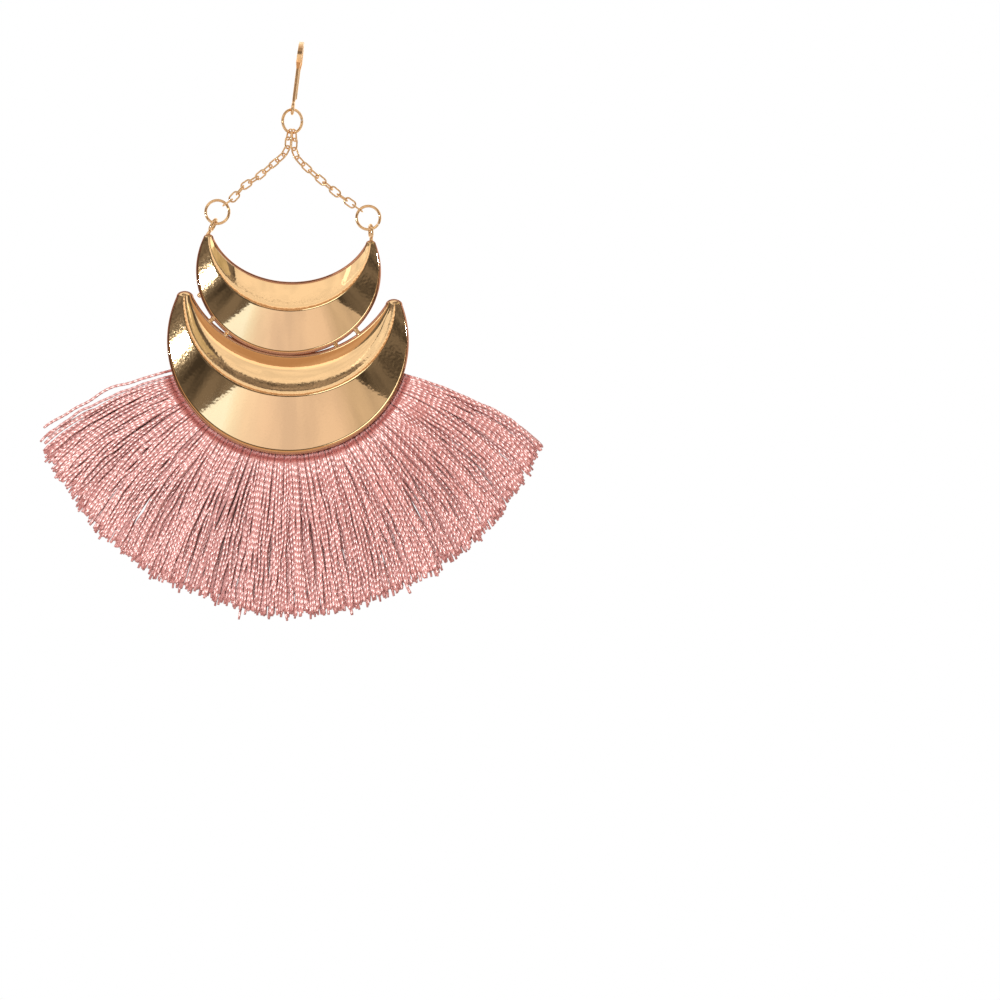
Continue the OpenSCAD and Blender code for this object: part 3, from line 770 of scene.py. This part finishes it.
def bar_shape(angle):
    """A bar at an angle of the lower crescent's inner edge, in degrees from its lowest point."""
    inner, outer = LOWER["lines"]["inner"], UPPER["lines"]["outer"]
    start = on_line(inner, math.radians(angle))
    way = unit([inner[0] - start[0], inner[1] - start[1]])
    gap = start - np.array(outer[:2])
    qa = (way[0] / outer[2]) ** 2 + (way[1] / outer[3]) ** 2
    qb = 2 * (gap[0] * way[0] / outer[2] ** 2 + gap[1] * way[1] / outer[3] ** 2)
    qc = (gap[0] / outer[2]) ** 2 + (gap[1] / outer[3]) ** 2 - 1
    reach = (-qb - math.sqrt(max(0, qb * qb - 4 * qa * qc))) / (2 * qa)
    along = np.linspace(-BAR_SUNK, reach + BAR_SUNK, 25)
    middle = reach / 2
    foot = np.abs(along - middle) / (middle + 0.001)
    thick = BAR_R + BAR_FOOT * np.clip(foot - 0.35, 0, 1) ** 1.5
    line = [[start[0] + way[0] * d, SOLDER_Y, start[1] + way[1] * d] for d in along]
    return wire(line, thick, 18)


points, faces = merged([bar_shape(a) for a in BAR_ANGLES])
new_piece("solder_bars", points * MM, faces, wire_gold, "pendant", "crescents", sharp=60)

# %% [markdown]
# A drop of solder has set on the upper crescent's left edge. It is a wire too, one that is as
# long as it is thick and swells and closes again like a bead.

# %% Make the drop of solder
DROP_R, DROP_ANGLE, DROP_OUT, DROP_TIP = 0.5, -71, 0.05, 0.002
drop_at = on_line(UPPER["lines"]["outer"], math.radians(DROP_ANGLE))
turns = np.linspace(0, math.pi, 19)
drop_line = [[drop_at[0] - DROP_OUT - DROP_R * math.cos(a), SOLDER_Y, drop_at[1]] for a in turns]
points, faces = wire(drop_line, DROP_R * np.sin(turns) * (1 - 0.1 * np.cos(turns)) + DROP_TIP, 24)
new_piece("solder_drop", points * MM, faces, wire_gold, "pendant", "crescents", sharp=70)

# %% [markdown]
# ## Thread finish
#
# The tassel is silky thread, such as viscose embroidery thread, twisted from two plies. Each
# ply turns its shiny side to the light once in a turn, so a thread looks like a row of bright
# dashes. The group follows the thread's own UV map, round the thread in u and along it, in
# turns, in v, and gives the height of the plies. It also paints shade into the colour, darker in
# the grooves between the plies. The mark "shade" holds each thread's own tone together with a
# painted shade, darker deep in the fan and just under the rim, and a dark thread is duller as well.

# %% Build the twist group
twist, twist_in, twist_out = new_group(
    "twist",
    [
        ("Dark", "NodeSocketColor", (0.2, 0.1, 0.1, 1)),
        ("Light", "NodeSocketColor", (0.8, 0.4, 0.4, 1)),
        ("Plies", "NodeSocketFloat", 2.0),
        ("Silky", "NodeSocketFloat", 0.4),
        ("Dull", "NodeSocketFloat", 0.85),
    ],
    [("Color", "NodeSocketColor"), ("Roughness", "NodeSocketFloat"), ("Height", "NodeSocketFloat")],
)
thread_uv = add(twist, "ShaderNodeUVMap", uv_map="thread")
uv_parts = add(twist, "ShaderNodeSeparateXYZ")
sum_uv = add(twist, "ShaderNodeMath", operation="ADD")
times = add(twist, "ShaderNodeMath", operation="MULTIPLY")
whole_turn = add(twist, "ShaderNodeMath", {1: 2 * math.pi}, operation="MULTIPLY")
wave = add(twist, "ShaderNodeMath", operation="COSINE")
lobe = add(twist, "ShaderNodeMapRange", {"From Min": -1.0, "From Max": 1.0})
ply = add(twist, "ShaderNodeMath", {1: 0.5}, operation="POWER")
own_shade = add(twist, "ShaderNodeAttribute", attribute_name="shade")
shaded = add(twist, "ShaderNodeMath", {1: 0.72}, operation="MULTIPLY")
# Painted shade: the grooves between the plies are painted darker in the colour.
groove_painted_shade = add(twist, "ShaderNodeMath", {1: 0.28}, operation="MULTIPLY")
both = add(twist, "ShaderNodeMath", operation="ADD", use_clamp=True)
dulled = add(twist, "ShaderNodeMapRange", {"From Min": 0.10, "From Max": 0.42})
thread_tone = add(twist, "ShaderNodeMix", data_type="RGBA")
join = twist.links.new
join(thread_uv.outputs["UV"], uv_parts.inputs[0])
join(uv_parts.outputs["X"], sum_uv.inputs[0])
join(uv_parts.outputs["Y"], sum_uv.inputs[1])
join(sum_uv.outputs[0], times.inputs[0])
join(twist_in.outputs["Plies"], times.inputs[1])
join(times.outputs[0], whole_turn.inputs[0])
join(whole_turn.outputs[0], wave.inputs[0])
join(wave.outputs[0], lobe.inputs["Value"])
join(lobe.outputs["Result"], ply.inputs[0])
join(own_shade.outputs["Fac"], shaded.inputs[0])
join(ply.outputs[0], groove_painted_shade.inputs[0])
join(shaded.outputs[0], both.inputs[0])
join(groove_painted_shade.outputs[0], both.inputs[1])
join(both.outputs[0], thread_tone.inputs["Factor"])
join(twist_in.outputs["Dark"], thread_tone.inputs["A"])
join(twist_in.outputs["Light"], thread_tone.inputs["B"])
join(thread_tone.outputs["Result"], twist_out.inputs["Color"])
join(ply.outputs[0], twist_out.inputs["Height"])
join(own_shade.outputs["Fac"], dulled.inputs["Value"])
join(twist_in.outputs["Dull"], dulled.inputs["To Min"])
join(twist_in.outputs["Silky"], dulled.inputs["To Max"])
join(dulled.outputs["Result"], twist_out.inputs["Roughness"])
print("twist group:", len(twist.nodes), "nodes")

# %% [markdown]
# The fibres run along a thread, so its highlight is stretched, as on brushed metal. The
# shader does that with Anisotropic and a tangent, which we take from the same UV map. An
# ordinary round highlight would leave the threads without their sparkle. The rose thread is
# for the tassel, and a slightly paler one for the band and its stitches.

# %% Mix the threads


def threadlike(name, dark, light, silky, ridge):
    material = bpy.data.materials.new(name)
    material.use_nodes = True
    tree = material.node_tree
    surface = tree.nodes["Principled BSDF"]
    surface.inputs["Specular IOR Level"].default_value = 1.0
    surface.inputs["Specular Tint"].default_value = (1.0, 0.94, 0.93, 1)
    surface.inputs["IOR"].default_value = 1.9
    surface.inputs["Anisotropic"].default_value = 0.85
    surface.inputs["Sheen Weight"].default_value = 0.15
    surface.inputs["Sheen Roughness"].default_value = 0.4
    surface.inputs["Sheen Tint"].default_value = (1.0, 0.80, 0.78, 1)
    around = add(tree, "ShaderNodeTangent", direction_type="UV_MAP", uv_map="thread")
    tree.links.new(around.outputs["Tangent"], surface.inputs["Tangent"])
    group = add(tree, "ShaderNodeGroup", node_tree=twist)
    group.inputs["Dark"].default_value = (*dark, 1)
    group.inputs["Light"].default_value = (*light, 1)
    group.inputs["Silky"].default_value = silky
    bump = add(tree, "ShaderNodeBump", {"Strength": 1.0, "Distance": ridge})
    tree.links.new(group.outputs["Color"], surface.inputs["Base Color"])
    tree.links.new(group.outputs["Roughness"], surface.inputs["Roughness"])
    tree.links.new(group.outputs["Height"], bump.inputs["Height"])
    tree.links.new(bump.outputs["Normal"], surface.inputs["Normal"])
    return material


rose_thread = threadlike("rose_thread", (0.24, 0.038, 0.034), (0.49, 0.185, 0.17), 0.40, 0.00006)
stitch_thread = threadlike("stitch_thread", (0.30, 0.11, 0.10), (0.66, 0.33, 0.30), 0.40, 0.00010)
print("thread materials:", rose_thread.name, stitch_thread.name)

# %% [markdown]
# ## Fan of threads
#
# The tassel's threads start under the lower crescent's edge, bulge forward as soon as they
# are free of the rim, and spread over 145 degrees. They keep together in locks, part in
# narrow dark gaps, cross a little, and end unevenly, as cut threads do. Hair strands would be
# quicker to lay, but we want threads that are a real mesh. The reach, the spread, the droop
# and the thickness are the CAD model's, while the threads bulge forward sooner than its locks
# do. The waves that crowd them together come from random numbers with a fixed seed.

# %% Sizes of the fan
rng = np.random.default_rng(11)
FAN_R, FAN_RIGHT, FAN_LEFT, DROOP = 52.0, 15.0, 20.0, 6.5
FAN_SPAN = 180 - FAN_RIGHT - FAN_LEFT
GLUE_GAP = 0.12
FRONT_Y = BACK_Y + GLUE_GAP
SHARES = [0, 0.03, 0.05, 0.14, 0.3, 0.5, 0.75, 0.93, 1.0]
FORWARD = [0, 0.25, 0.95, 1.25, 1.3, 1.15, 1.0, 1.0, 1.0]
THICK = [2.2, 2.2, 2.2, 2.76, 3.32, 3.6, 2.8, 2.0, 1.1]
THREAD_R, TWIST_LENGTH = 0.29, 2.2
TRIMMED, TRIM_WAVES, TRIM_JAGS = 0.4, 0.8, 0.5


def rim_r(angle):
    return 1 / np.sqrt((np.cos(angle) / LOWER["wide"]) ** 2 + (np.sin(angle) / LOWER["high"]) ** 2)


def smooth_bumps(places, seed, waves=6):
    """A smooth random curve with values of about -1 to 1."""
    own = np.random.default_rng(seed)
    total = np.zeros_like(places)
    for k in range(1, waves + 1):
        total += own.normal() / k**0.5 * np.sin(math.pi * k * places + own.uniform(0, 2 * math.pi))
    return total / 2.2


def crowding(across, seed):
    """How far threads lean together into locks, as a share of the fan's width."""
    own = np.random.default_rng(seed)
    lean = np.zeros_like(across)
    for waves in (7, 13, 23, 34, 51):
        wide = own.uniform(0.16, 0.34) / (2 * math.pi * waves)
        lean += wide * np.sin(2 * math.pi * (waves * across + own.uniform()))
    return lean


def fan_length(across):
    """The tassel's trimmed but uneven edge."""
    waving = FAN_R - TRIMMED + TRIM_WAVES * smooth_bumps(across, 5, 9)
    return waving + TRIM_JAGS * smooth_bumps(across, 6, 60)


print("fan spans", FAN_SPAN, "degrees and reaches", FAN_R, "mm")

# %% [markdown]
# A thread is first a line. It runs outwards from its root and droops a little, leans with its
# lock, sways by itself, and keeps between the front and the back of the fan. A loop over
# every point would be slow in Python, so we make all lines of a layer at once, as one array.

# %% Draw the threads' middle lines
ROOT_INSIDE = 1.6
ENDS_VARY, ENDS_SHORT = 0.5, 0.7
FRONT_HALF, DEEP_LEAN = 0.45, 0.25
WILD_SHARE, WILD, CALM = 0.3, 2.3, 0.6
SWAY_WAVES, SWAY = (1.0, 2.3, 4.1, 7.7, 13.0), 0.46
RUMPLED, RUMPLED_MOST, BOBBING = 0.30, 0.7, 0.12


def thread_lines(across, layer, rings):
    """Middle lines of threads, by their places across the fan and in its depth."""
    count = len(across)
    s = np.linspace(0, 1, rings)
    start = np.radians(FAN_RIGHT + FAN_SPAN * across)
    root = rim_r(start) - ROOT_INSIDE
    tip = fan_length(across) + rng.normal(0, ENDS_VARY, count)
    tip = tip - ENDS_VARY * rng.exponential(ENDS_SHORT, count)
    r = root[:, None] + (tip - root)[:, None] * s
    angle = start[:, None] + np.radians(DROOP) * np.cos(start)[:, None] * s**2
    lean = np.where(layer < FRONT_HALF, crowding(across, 21), DEEP_LEAN * crowding(across, 22))
    angle = angle + np.radians(FAN_SPAN) * lean[:, None] * np.minimum(1, s * 1.6)
    wild = np.where(rng.uniform(0, 1, count) < WILD_SHARE, WILD, CALM)
    sway = (rng.normal(0, 1.0, count) * wild)[:, None] * s**1.3
    for k in SWAY_WAVES:
        swing = rng.normal(0, SWAY / k**0.8, count)[:, None]
        sway = sway + swing * np.sin(math.pi * k * s + rng.uniform(0, 6.3, count)[:, None]) * s**0.6
    angle = angle + sway / r
    free = np.clip((r - rim_r(start)[:, None]) / (tip - rim_r(start))[:, None], 0, 1)
    front = FRONT_Y - np.interp(free, SHARES, FORWARD)
    thick = np.interp(free, SHARES, THICK)
    uneven = RUMPLED * (1 + smooth_bumps(across, 31, 70))[:, None] * np.minimum(1, free * 4)
    uneven = np.clip(uneven, 0, RUMPLED_MOST)
    near = THREAD_R * 1.02 + uneven
    deep = near + (thick - 2 * THREAD_R - uneven) * layer[:, None]
    bob = rng.normal(0, BOBBING, count)[:, None]
    deep = deep + bob * np.sin(math.pi * s * rng.uniform(1, 3, count)[:, None])
    y = front + np.clip(deep, THREAD_R, np.maximum(thick - THREAD_R, THREAD_R))
    x = LOWER["x"] + r * np.cos(angle)
    z = LOWER["z"] - r * np.sin(angle)
    return np.stack([x, y, z], -1), free


print("roots lie", ROOT_INSIDE, "mm inside the rim")

# %% [markdown]
# Then each line gets its tube. A groove turns with the twist, so the tube really has two
# plies, and the UV map turns at the same pace. Both ends are closed.

# %% Wrap tubes round the lines
TIP_SIZE, ROOT_PAINTED_SHADOW = 0.8, 0.25


def thread_mesh(lines, free, radius, shade, sides, groove):
    """Points, faces, UVs and shades of many two-ply threads at once."""
    count, rings, _ = lines.shape
    ahead = np.gradient(lines, axis=1)
    ahead /= np.linalg.norm(ahead, axis=2, keepdims=True)
    side = np.cross(ahead, [0, 1, 0])
    side /= np.linalg.norm(side, axis=2, keepdims=True)
    other = np.cross(side, ahead)
    run = np.linalg.norm(np.diff(lines, axis=1), axis=2)
    v = np.concatenate([np.zeros((count, 1)), np.cumsum(run, 1)], 1) / TWIST_LENGTH
    v = v + rng.uniform(0, 1, (count, 1))
    k = np.arange(sides)
    a = 2 * math.pi * k / sides
    lobes = np.abs(np.cos(a + 2 * math.pi * v[:, :, None]))
    size = radius[:, None, None] * (1 - groove * (1 - lobes))
    size[:, -1] *= TIP_SIZE
    out = side[:, :, None] * np.cos(a)[:, None] + other[:, :, None] * np.sin(a)[:, None]
    points = lines[:, :, None] + out * size[..., None]
    first = (np.arange(count) * rings * sides)[:, None, None]
    j = np.arange(rings - 1)[:, None] * sides
    after = (k + 1) % sides
    quads = np.stack([j + k, j + after, j + sides + after, j + sides + k], -1)
    quads = (first[..., None] + quads[None]).reshape(-1, 4)
    u0, u1 = np.broadcast_to(k / sides, (count, rings - 1, sides)), (k + 1) / sides
    u1 = np.broadcast_to(u1, u0.shape)
    v0 = np.broadcast_to(v[:, :-1, None], u0.shape)
    v1 = np.broadcast_to(v[:, 1:, None], u0.shape)
    corners = [np.stack(corner, -1) for corner in ((u0, v0), (u1, v0), (u1, v1), (u0, v1))]
    uv = np.stack(corners, 3).reshape(-1, 2)
    # Painted shadow: a thread is painted darker just under the rim, where the crescent shades it, and
    # brightens within a short run.
    lit = ROOT_PAINTED_SHADOW + (1 - ROOT_PAINTED_SHADOW) * np.clip((free - 0.035) / 0.02, 0, 1)
    shades = np.repeat((shade[:, None] * lit).ravel(), sides)
    roots, tips = first.reshape(-1, 1) + k[::-1], first.reshape(-1, 1) + (rings - 1) * sides + k
    ends = np.concatenate([roots, tips])
    return points.reshape(-1, 3), quads, uv, shades, ends


print("threads are", 2 * THREAD_R, "mm thick")

# %% [markdown]
# A mesh of this size is written as whole arrays. Blender's foreach_set takes each array in one
# go, which is many times faster than making one face after another.

# %% Turn many tubes into one piece


def joined(meshes):
    """Several results of thread_mesh as one."""
    points, quads, uv, shades, ends = zip(*meshes)
    firsts = np.cumsum([0] + [len(p) for p in points[:-1]])
    quads = np.concatenate([q + f for q, f in zip(quads, firsts)])
    ends = [e + f for e, f in zip(ends, firsts)]
    return np.concatenate(points), quads, np.concatenate(uv), np.concatenate(shades), ends


def thread_piece(name, meshes, material):
    points, quads, uv, shades, ends = joined(meshes)
    mesh = bpy.data.meshes.new(name)
    mesh.vertices.add(len(points))
    mesh.vertices.foreach_set("co", (points * MM).astype(np.float32).ravel())
    sizes = np.concatenate([np.full(len(quads), 4)] + [np.full(len(e), e.shape[1]) for e in ends])
    loops = np.concatenate([quads.ravel()] + [e.ravel() for e in ends])
    mesh.loops.add(len(loops))
    mesh.loops.foreach_set("vertex_index", loops.astype(np.int32))
    mesh.polygons.add(len(sizes))
    mesh.polygons.foreach_set("loop_start", (np.cumsum(sizes) - sizes).astype(np.int32))
    mesh.update(calc_edges=True)
    layer = mesh.uv_layers.new(name="thread")
    all_uv = np.concatenate([uv, np.zeros((len(loops) - len(uv), 2))]).astype(np.float32)
    layer.data.foreach_set("uv", all_uv.ravel())
    own = mesh.attributes.new("shade", "FLOAT", "POINT")
    own.data.foreach_set("value", shades.astype(np.float32))
    mesh.materials.append(material)
    mesh.shade_smooth()
    piece = bpy.data.objects.new(name, mesh)
    scene.collection.objects.link(piece)
    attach(piece, "pendant")
    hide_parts("tassel")
    triangles = 2 * len(quads) + sum(e.size - 2 * len(e) for e in ends)
    print(name, "-", sum(len(e) for e in ends) // 2, "threads,", triangles, "triangles")
    return piece


print("piece builder ready")

# %% [markdown]
# The fan has five layers. Only the front two are seen closely, so they get the fine grooved
# tubes. Those behind are plain tubes with fewer sides, with a shade painted darker the deeper
# they lie, apart from the last one, the fan's back, which is painted lighter again. Three strays
# lie outside the fan. To keep each piece light, the fan is cut into five sectors, and the five
# are the pieces.

# %% Lay the threads
IN_LAYERS, FRONT_LAYERS, SECTORS = [136, 136, 220, 250, 270], 2, 5
STRAYS, STRAY_DEPTH = [-0.010, 1.010, 1.025], 0.3
FINE_RINGS, PLAIN_RINGS = 104, 26
FINE_TUBE, PLAIN_TUBE = (8, 0.20), (5, 0.0)
BACK_SHADE, FRONT_SHADE, PAINTED_SHADE_INSIDE = 0.62, 0.80, 0.62
CLUMP_SHADE, OWN_SHADE = 0.16, 0.13
PLACE_VARIES, DEPTH_VARIES = 0.33, 0.05
THINNEST, THICKEST = 0.88, 1.10
sector_meshes = [[] for _ in range(SECTORS)]
for k, in_layer in enumerate(IN_LAYERS):
    nudge = rng.uniform(-PLACE_VARIES, PLACE_VARIES, in_layer) * (1 - 0.12 * k)
    across = (np.arange(in_layer) + 0.5 + nudge) / in_layer
    layer = np.full(in_layer, k / (len(IN_LAYERS) - 1)) + rng.normal(0, DEPTH_VARIES, in_layer)
    if k == 1:
        across = np.append(across, STRAYS)
        layer = np.append(layer, np.full(len(STRAYS), STRAY_DEPTH))
    layer = np.clip(layer, 0, 1)
    fine = k < FRONT_LAYERS
    lines, free = thread_lines(across, layer, FINE_RINGS if fine else PLAIN_RINGS)
    at_back = k == len(IN_LAYERS) - 1
    # Painted shade: a thread is painted darker the deeper it lies in the fan, where the others shade it;
    # the back layer gets a lighter painted tone of its own.
    painted_depth_shade = BACK_SHADE if at_back else FRONT_SHADE - PAINTED_SHADE_INSIDE * layer**0.8
    clumps = CLUMP_SHADE * smooth_bumps(across, 41, 44) + rng.normal(0, OWN_SHADE, len(across))
    shade = np.clip(painted_depth_shade + clumps, 0.02, 1)
    radius = THREAD_R * rng.uniform(THINNEST, THICKEST, len(across))
    sector = np.clip((across * SECTORS).astype(int), 0, SECTORS - 1)
    for n in range(SECTORS):
        own = sector == n
        sides, groove = FINE_TUBE if fine else PLAIN_TUBE
        sector_meshes[n].append(thread_mesh(lines[own], free[own], radius[own], shade[own], sides, groove))
thread_pieces = [
    thread_piece(f"threads_{n + 1}", sector_meshes[n], rose_thread) for n in range(SECTORS)]

# %% [markdown]
# Thread sparkles when a small strong lamp stands almost straight in front of it. The metal
# needs a dim room with a few cards, and such a lamp would show in it as a white patch.
# Blender can link a lamp to chosen objects, so the threads get three of their own: one for
# the sparkle, a large dim one that fills the shadows, and one behind for the views from the
# back.

# %% Light the threads
lit_pieces = bpy.data.collections.new("lit_by_thread_lamps")
for piece in thread_pieces:
    lit_pieces.objects.link(piece)
thread_lamps = [
    soft_lamp("thread_glitter", (-0.08, -0.60, 0.10), (0.16, 0.16), 46.0, (1.0, 0.97, 0.95)),
    soft_lamp("thread_fill", (-0.25, -0.42, 0.30), (0.50, 0.45), 0.7, (1.0, 0.95, 0.92)),
    soft_lamp("thread_back_glitter", (0.10, 0.60, 0.14), (0.24, 0.24), 16.0, (1.0, 0.97, 0.95)),
]
for lamp in thread_lamps:
    lamp.light_linking.receiver_collection = lit_pieces

# %% [markdown]
# ## Band at the back
#
# At the back the threads are held by a narrow band that is glued behind the lower crescent's
# edge. The photograph doesn't show it. We make it as a ribbon with a slightly padded back,
# which follows the rim, and give it the UV map and the mark that the thread finish reads.

# %% Make the band
BAND_INSIDE, BAND_OUTSIDE, BAND_THICK, BAND_PADDING = 4.4, 0.9, 1.9, 0.18
BACK_PLACES, FRONT_PLACES = np.linspace(0, 1, 9), (1, 0.5, 0)
BAND_POINTS = len(BACK_PLACES) + len(FRONT_PLACES)
BAND_SHADE, PLIES_ACROSS, PLIES_ALONG = 0.45, 0.25, 0.14


def band_shape(inside, outside, front, back, steps=150):
    """A padded ribbon that follows the rim, between two distances inside it."""
    rings = []
    for t in np.linspace(0, 1, steps):
        a = math.radians(FAN_RIGHT + FAN_SPAN * t)
        rim = rim_r(a)
        ring = []
        for q in BACK_PLACES:
            r = rim - inside + (inside - outside) * q
            ring.append((r, back + BAND_PADDING * (1 - (2 * q - 1) ** 2)))
        for q in FRONT_PLACES:
            ring.append((rim - inside + (inside - outside) * q, front))
        rings.append([
            [LOWER["x"] + r * math.cos(a), y, LOWER["z"] - r * math.sin(a)] for r, y in ring])
    n = len(rings[0])
    faces = ring_walls(steps, n)
    faces += [tuple(range(n))[::-1], tuple(range((steps - 1) * n, steps * n))]
    return np.concatenate(rings), faces


BAND_BACK = FRONT_Y + BAND_THICK
points, faces = band_shape(BAND_INSIDE, BAND_OUTSIDE, FRONT_Y, BAND_BACK)
band = new_piece(
    "head_band", points * MM, faces, stitch_thread, "pendant", "tassel", sharp=50,
    marks={"shade": np.full(len(points), BAND_SHADE)})
weave = band.data.uv_layers.new(name="thread")
for loop in band.data.loops:
    ring, place = divmod(loop.vertex_index, BAND_POINTS)
    weave.data[loop.index].uv = (PLIES_ACROSS * place, PLIES_ALONG * ring)

# %% [markdown]
# Two rows of chain stitches hold the threads to the band. A chain stitch is a row of drops:
# each loop comes up inside the end of the one before and lies over it. One loop is a line
# that goes out and back once, so the tubes of the threads do for it too.

# %% Sew the stitches
STITCH_LONG, STITCH_WIDE, STITCH_R, STITCH_RINGS = 2.3, 1.15, 0.21, 36
STITCH_PITCH, STITCH_JITTER = 0.80, (0.04, 0.05)
STITCH_BACK, STITCH_LIFT, STITCH_DIP = 0.25, 0.16, 0.42
STITCH_SHADE, STITCH_ROWS = (0.62, 0.08), ((1.75, 0.0), (3.5, 0.4))


def stitch_lines(inside, phase):
    """One row of chain stitches: each loop starts inside the end of the one before it."""
    run = np.linspace(0, 1, STITCH_RINGS)
    forth = STITCH_LONG * (1 - np.cos(2 * math.pi * run)) / 2 - STITCH_BACK
    across = STITCH_WIDE / 2 * np.sin(2 * math.pi * run) * np.sin(math.pi * run) ** 0.4
    lift = STITCH_LIFT - STITCH_DIP * np.abs(2 * run - 1) ** 3
    row_r = (LOWER["wide"] + LOWER["high"]) / 2 - inside
    pitch = STITCH_PITCH * STITCH_LONG / row_r
    first = math.radians(FAN_RIGHT) + pitch * (0.7 + phase)
    angles = np.arange(first, math.radians(180 - FAN_LEFT) - pitch, pitch)
    one_each = (len(angles), 1)
    angle = angles[:, None] + forth / row_r + rng.normal(0, STITCH_JITTER[0], one_each) / row_r
    r = rim_r(angle) - inside + across + rng.normal(0, STITCH_JITTER[1], one_each)
    y = np.broadcast_to(BAND_BACK + BAND_PADDING + lift, r.shape)
    return np.stack([LOWER["x"] + r * np.cos(angle), y, LOWER["z"] - r * np.sin(angle)], -1)


stitches = []
for inside, phase in STITCH_ROWS:
    lines = stitch_lines(inside, phase)
    count = len(lines)
    free = np.ones(lines.shape[:2])
    shade = np.clip(rng.normal(*STITCH_SHADE, count), 0, 1)
    stitches.append(thread_mesh(lines, free, np.full(count, STITCH_R), shade, *FINE_TUBE))
stitched = thread_piece("head_stitches", stitches, stitch_thread)
for piece in (band, stitched):
    lit_pieces.objects.link(piece)

# %% [markdown]
# ## Close the scene
#

# %% Finish
print("scene built")
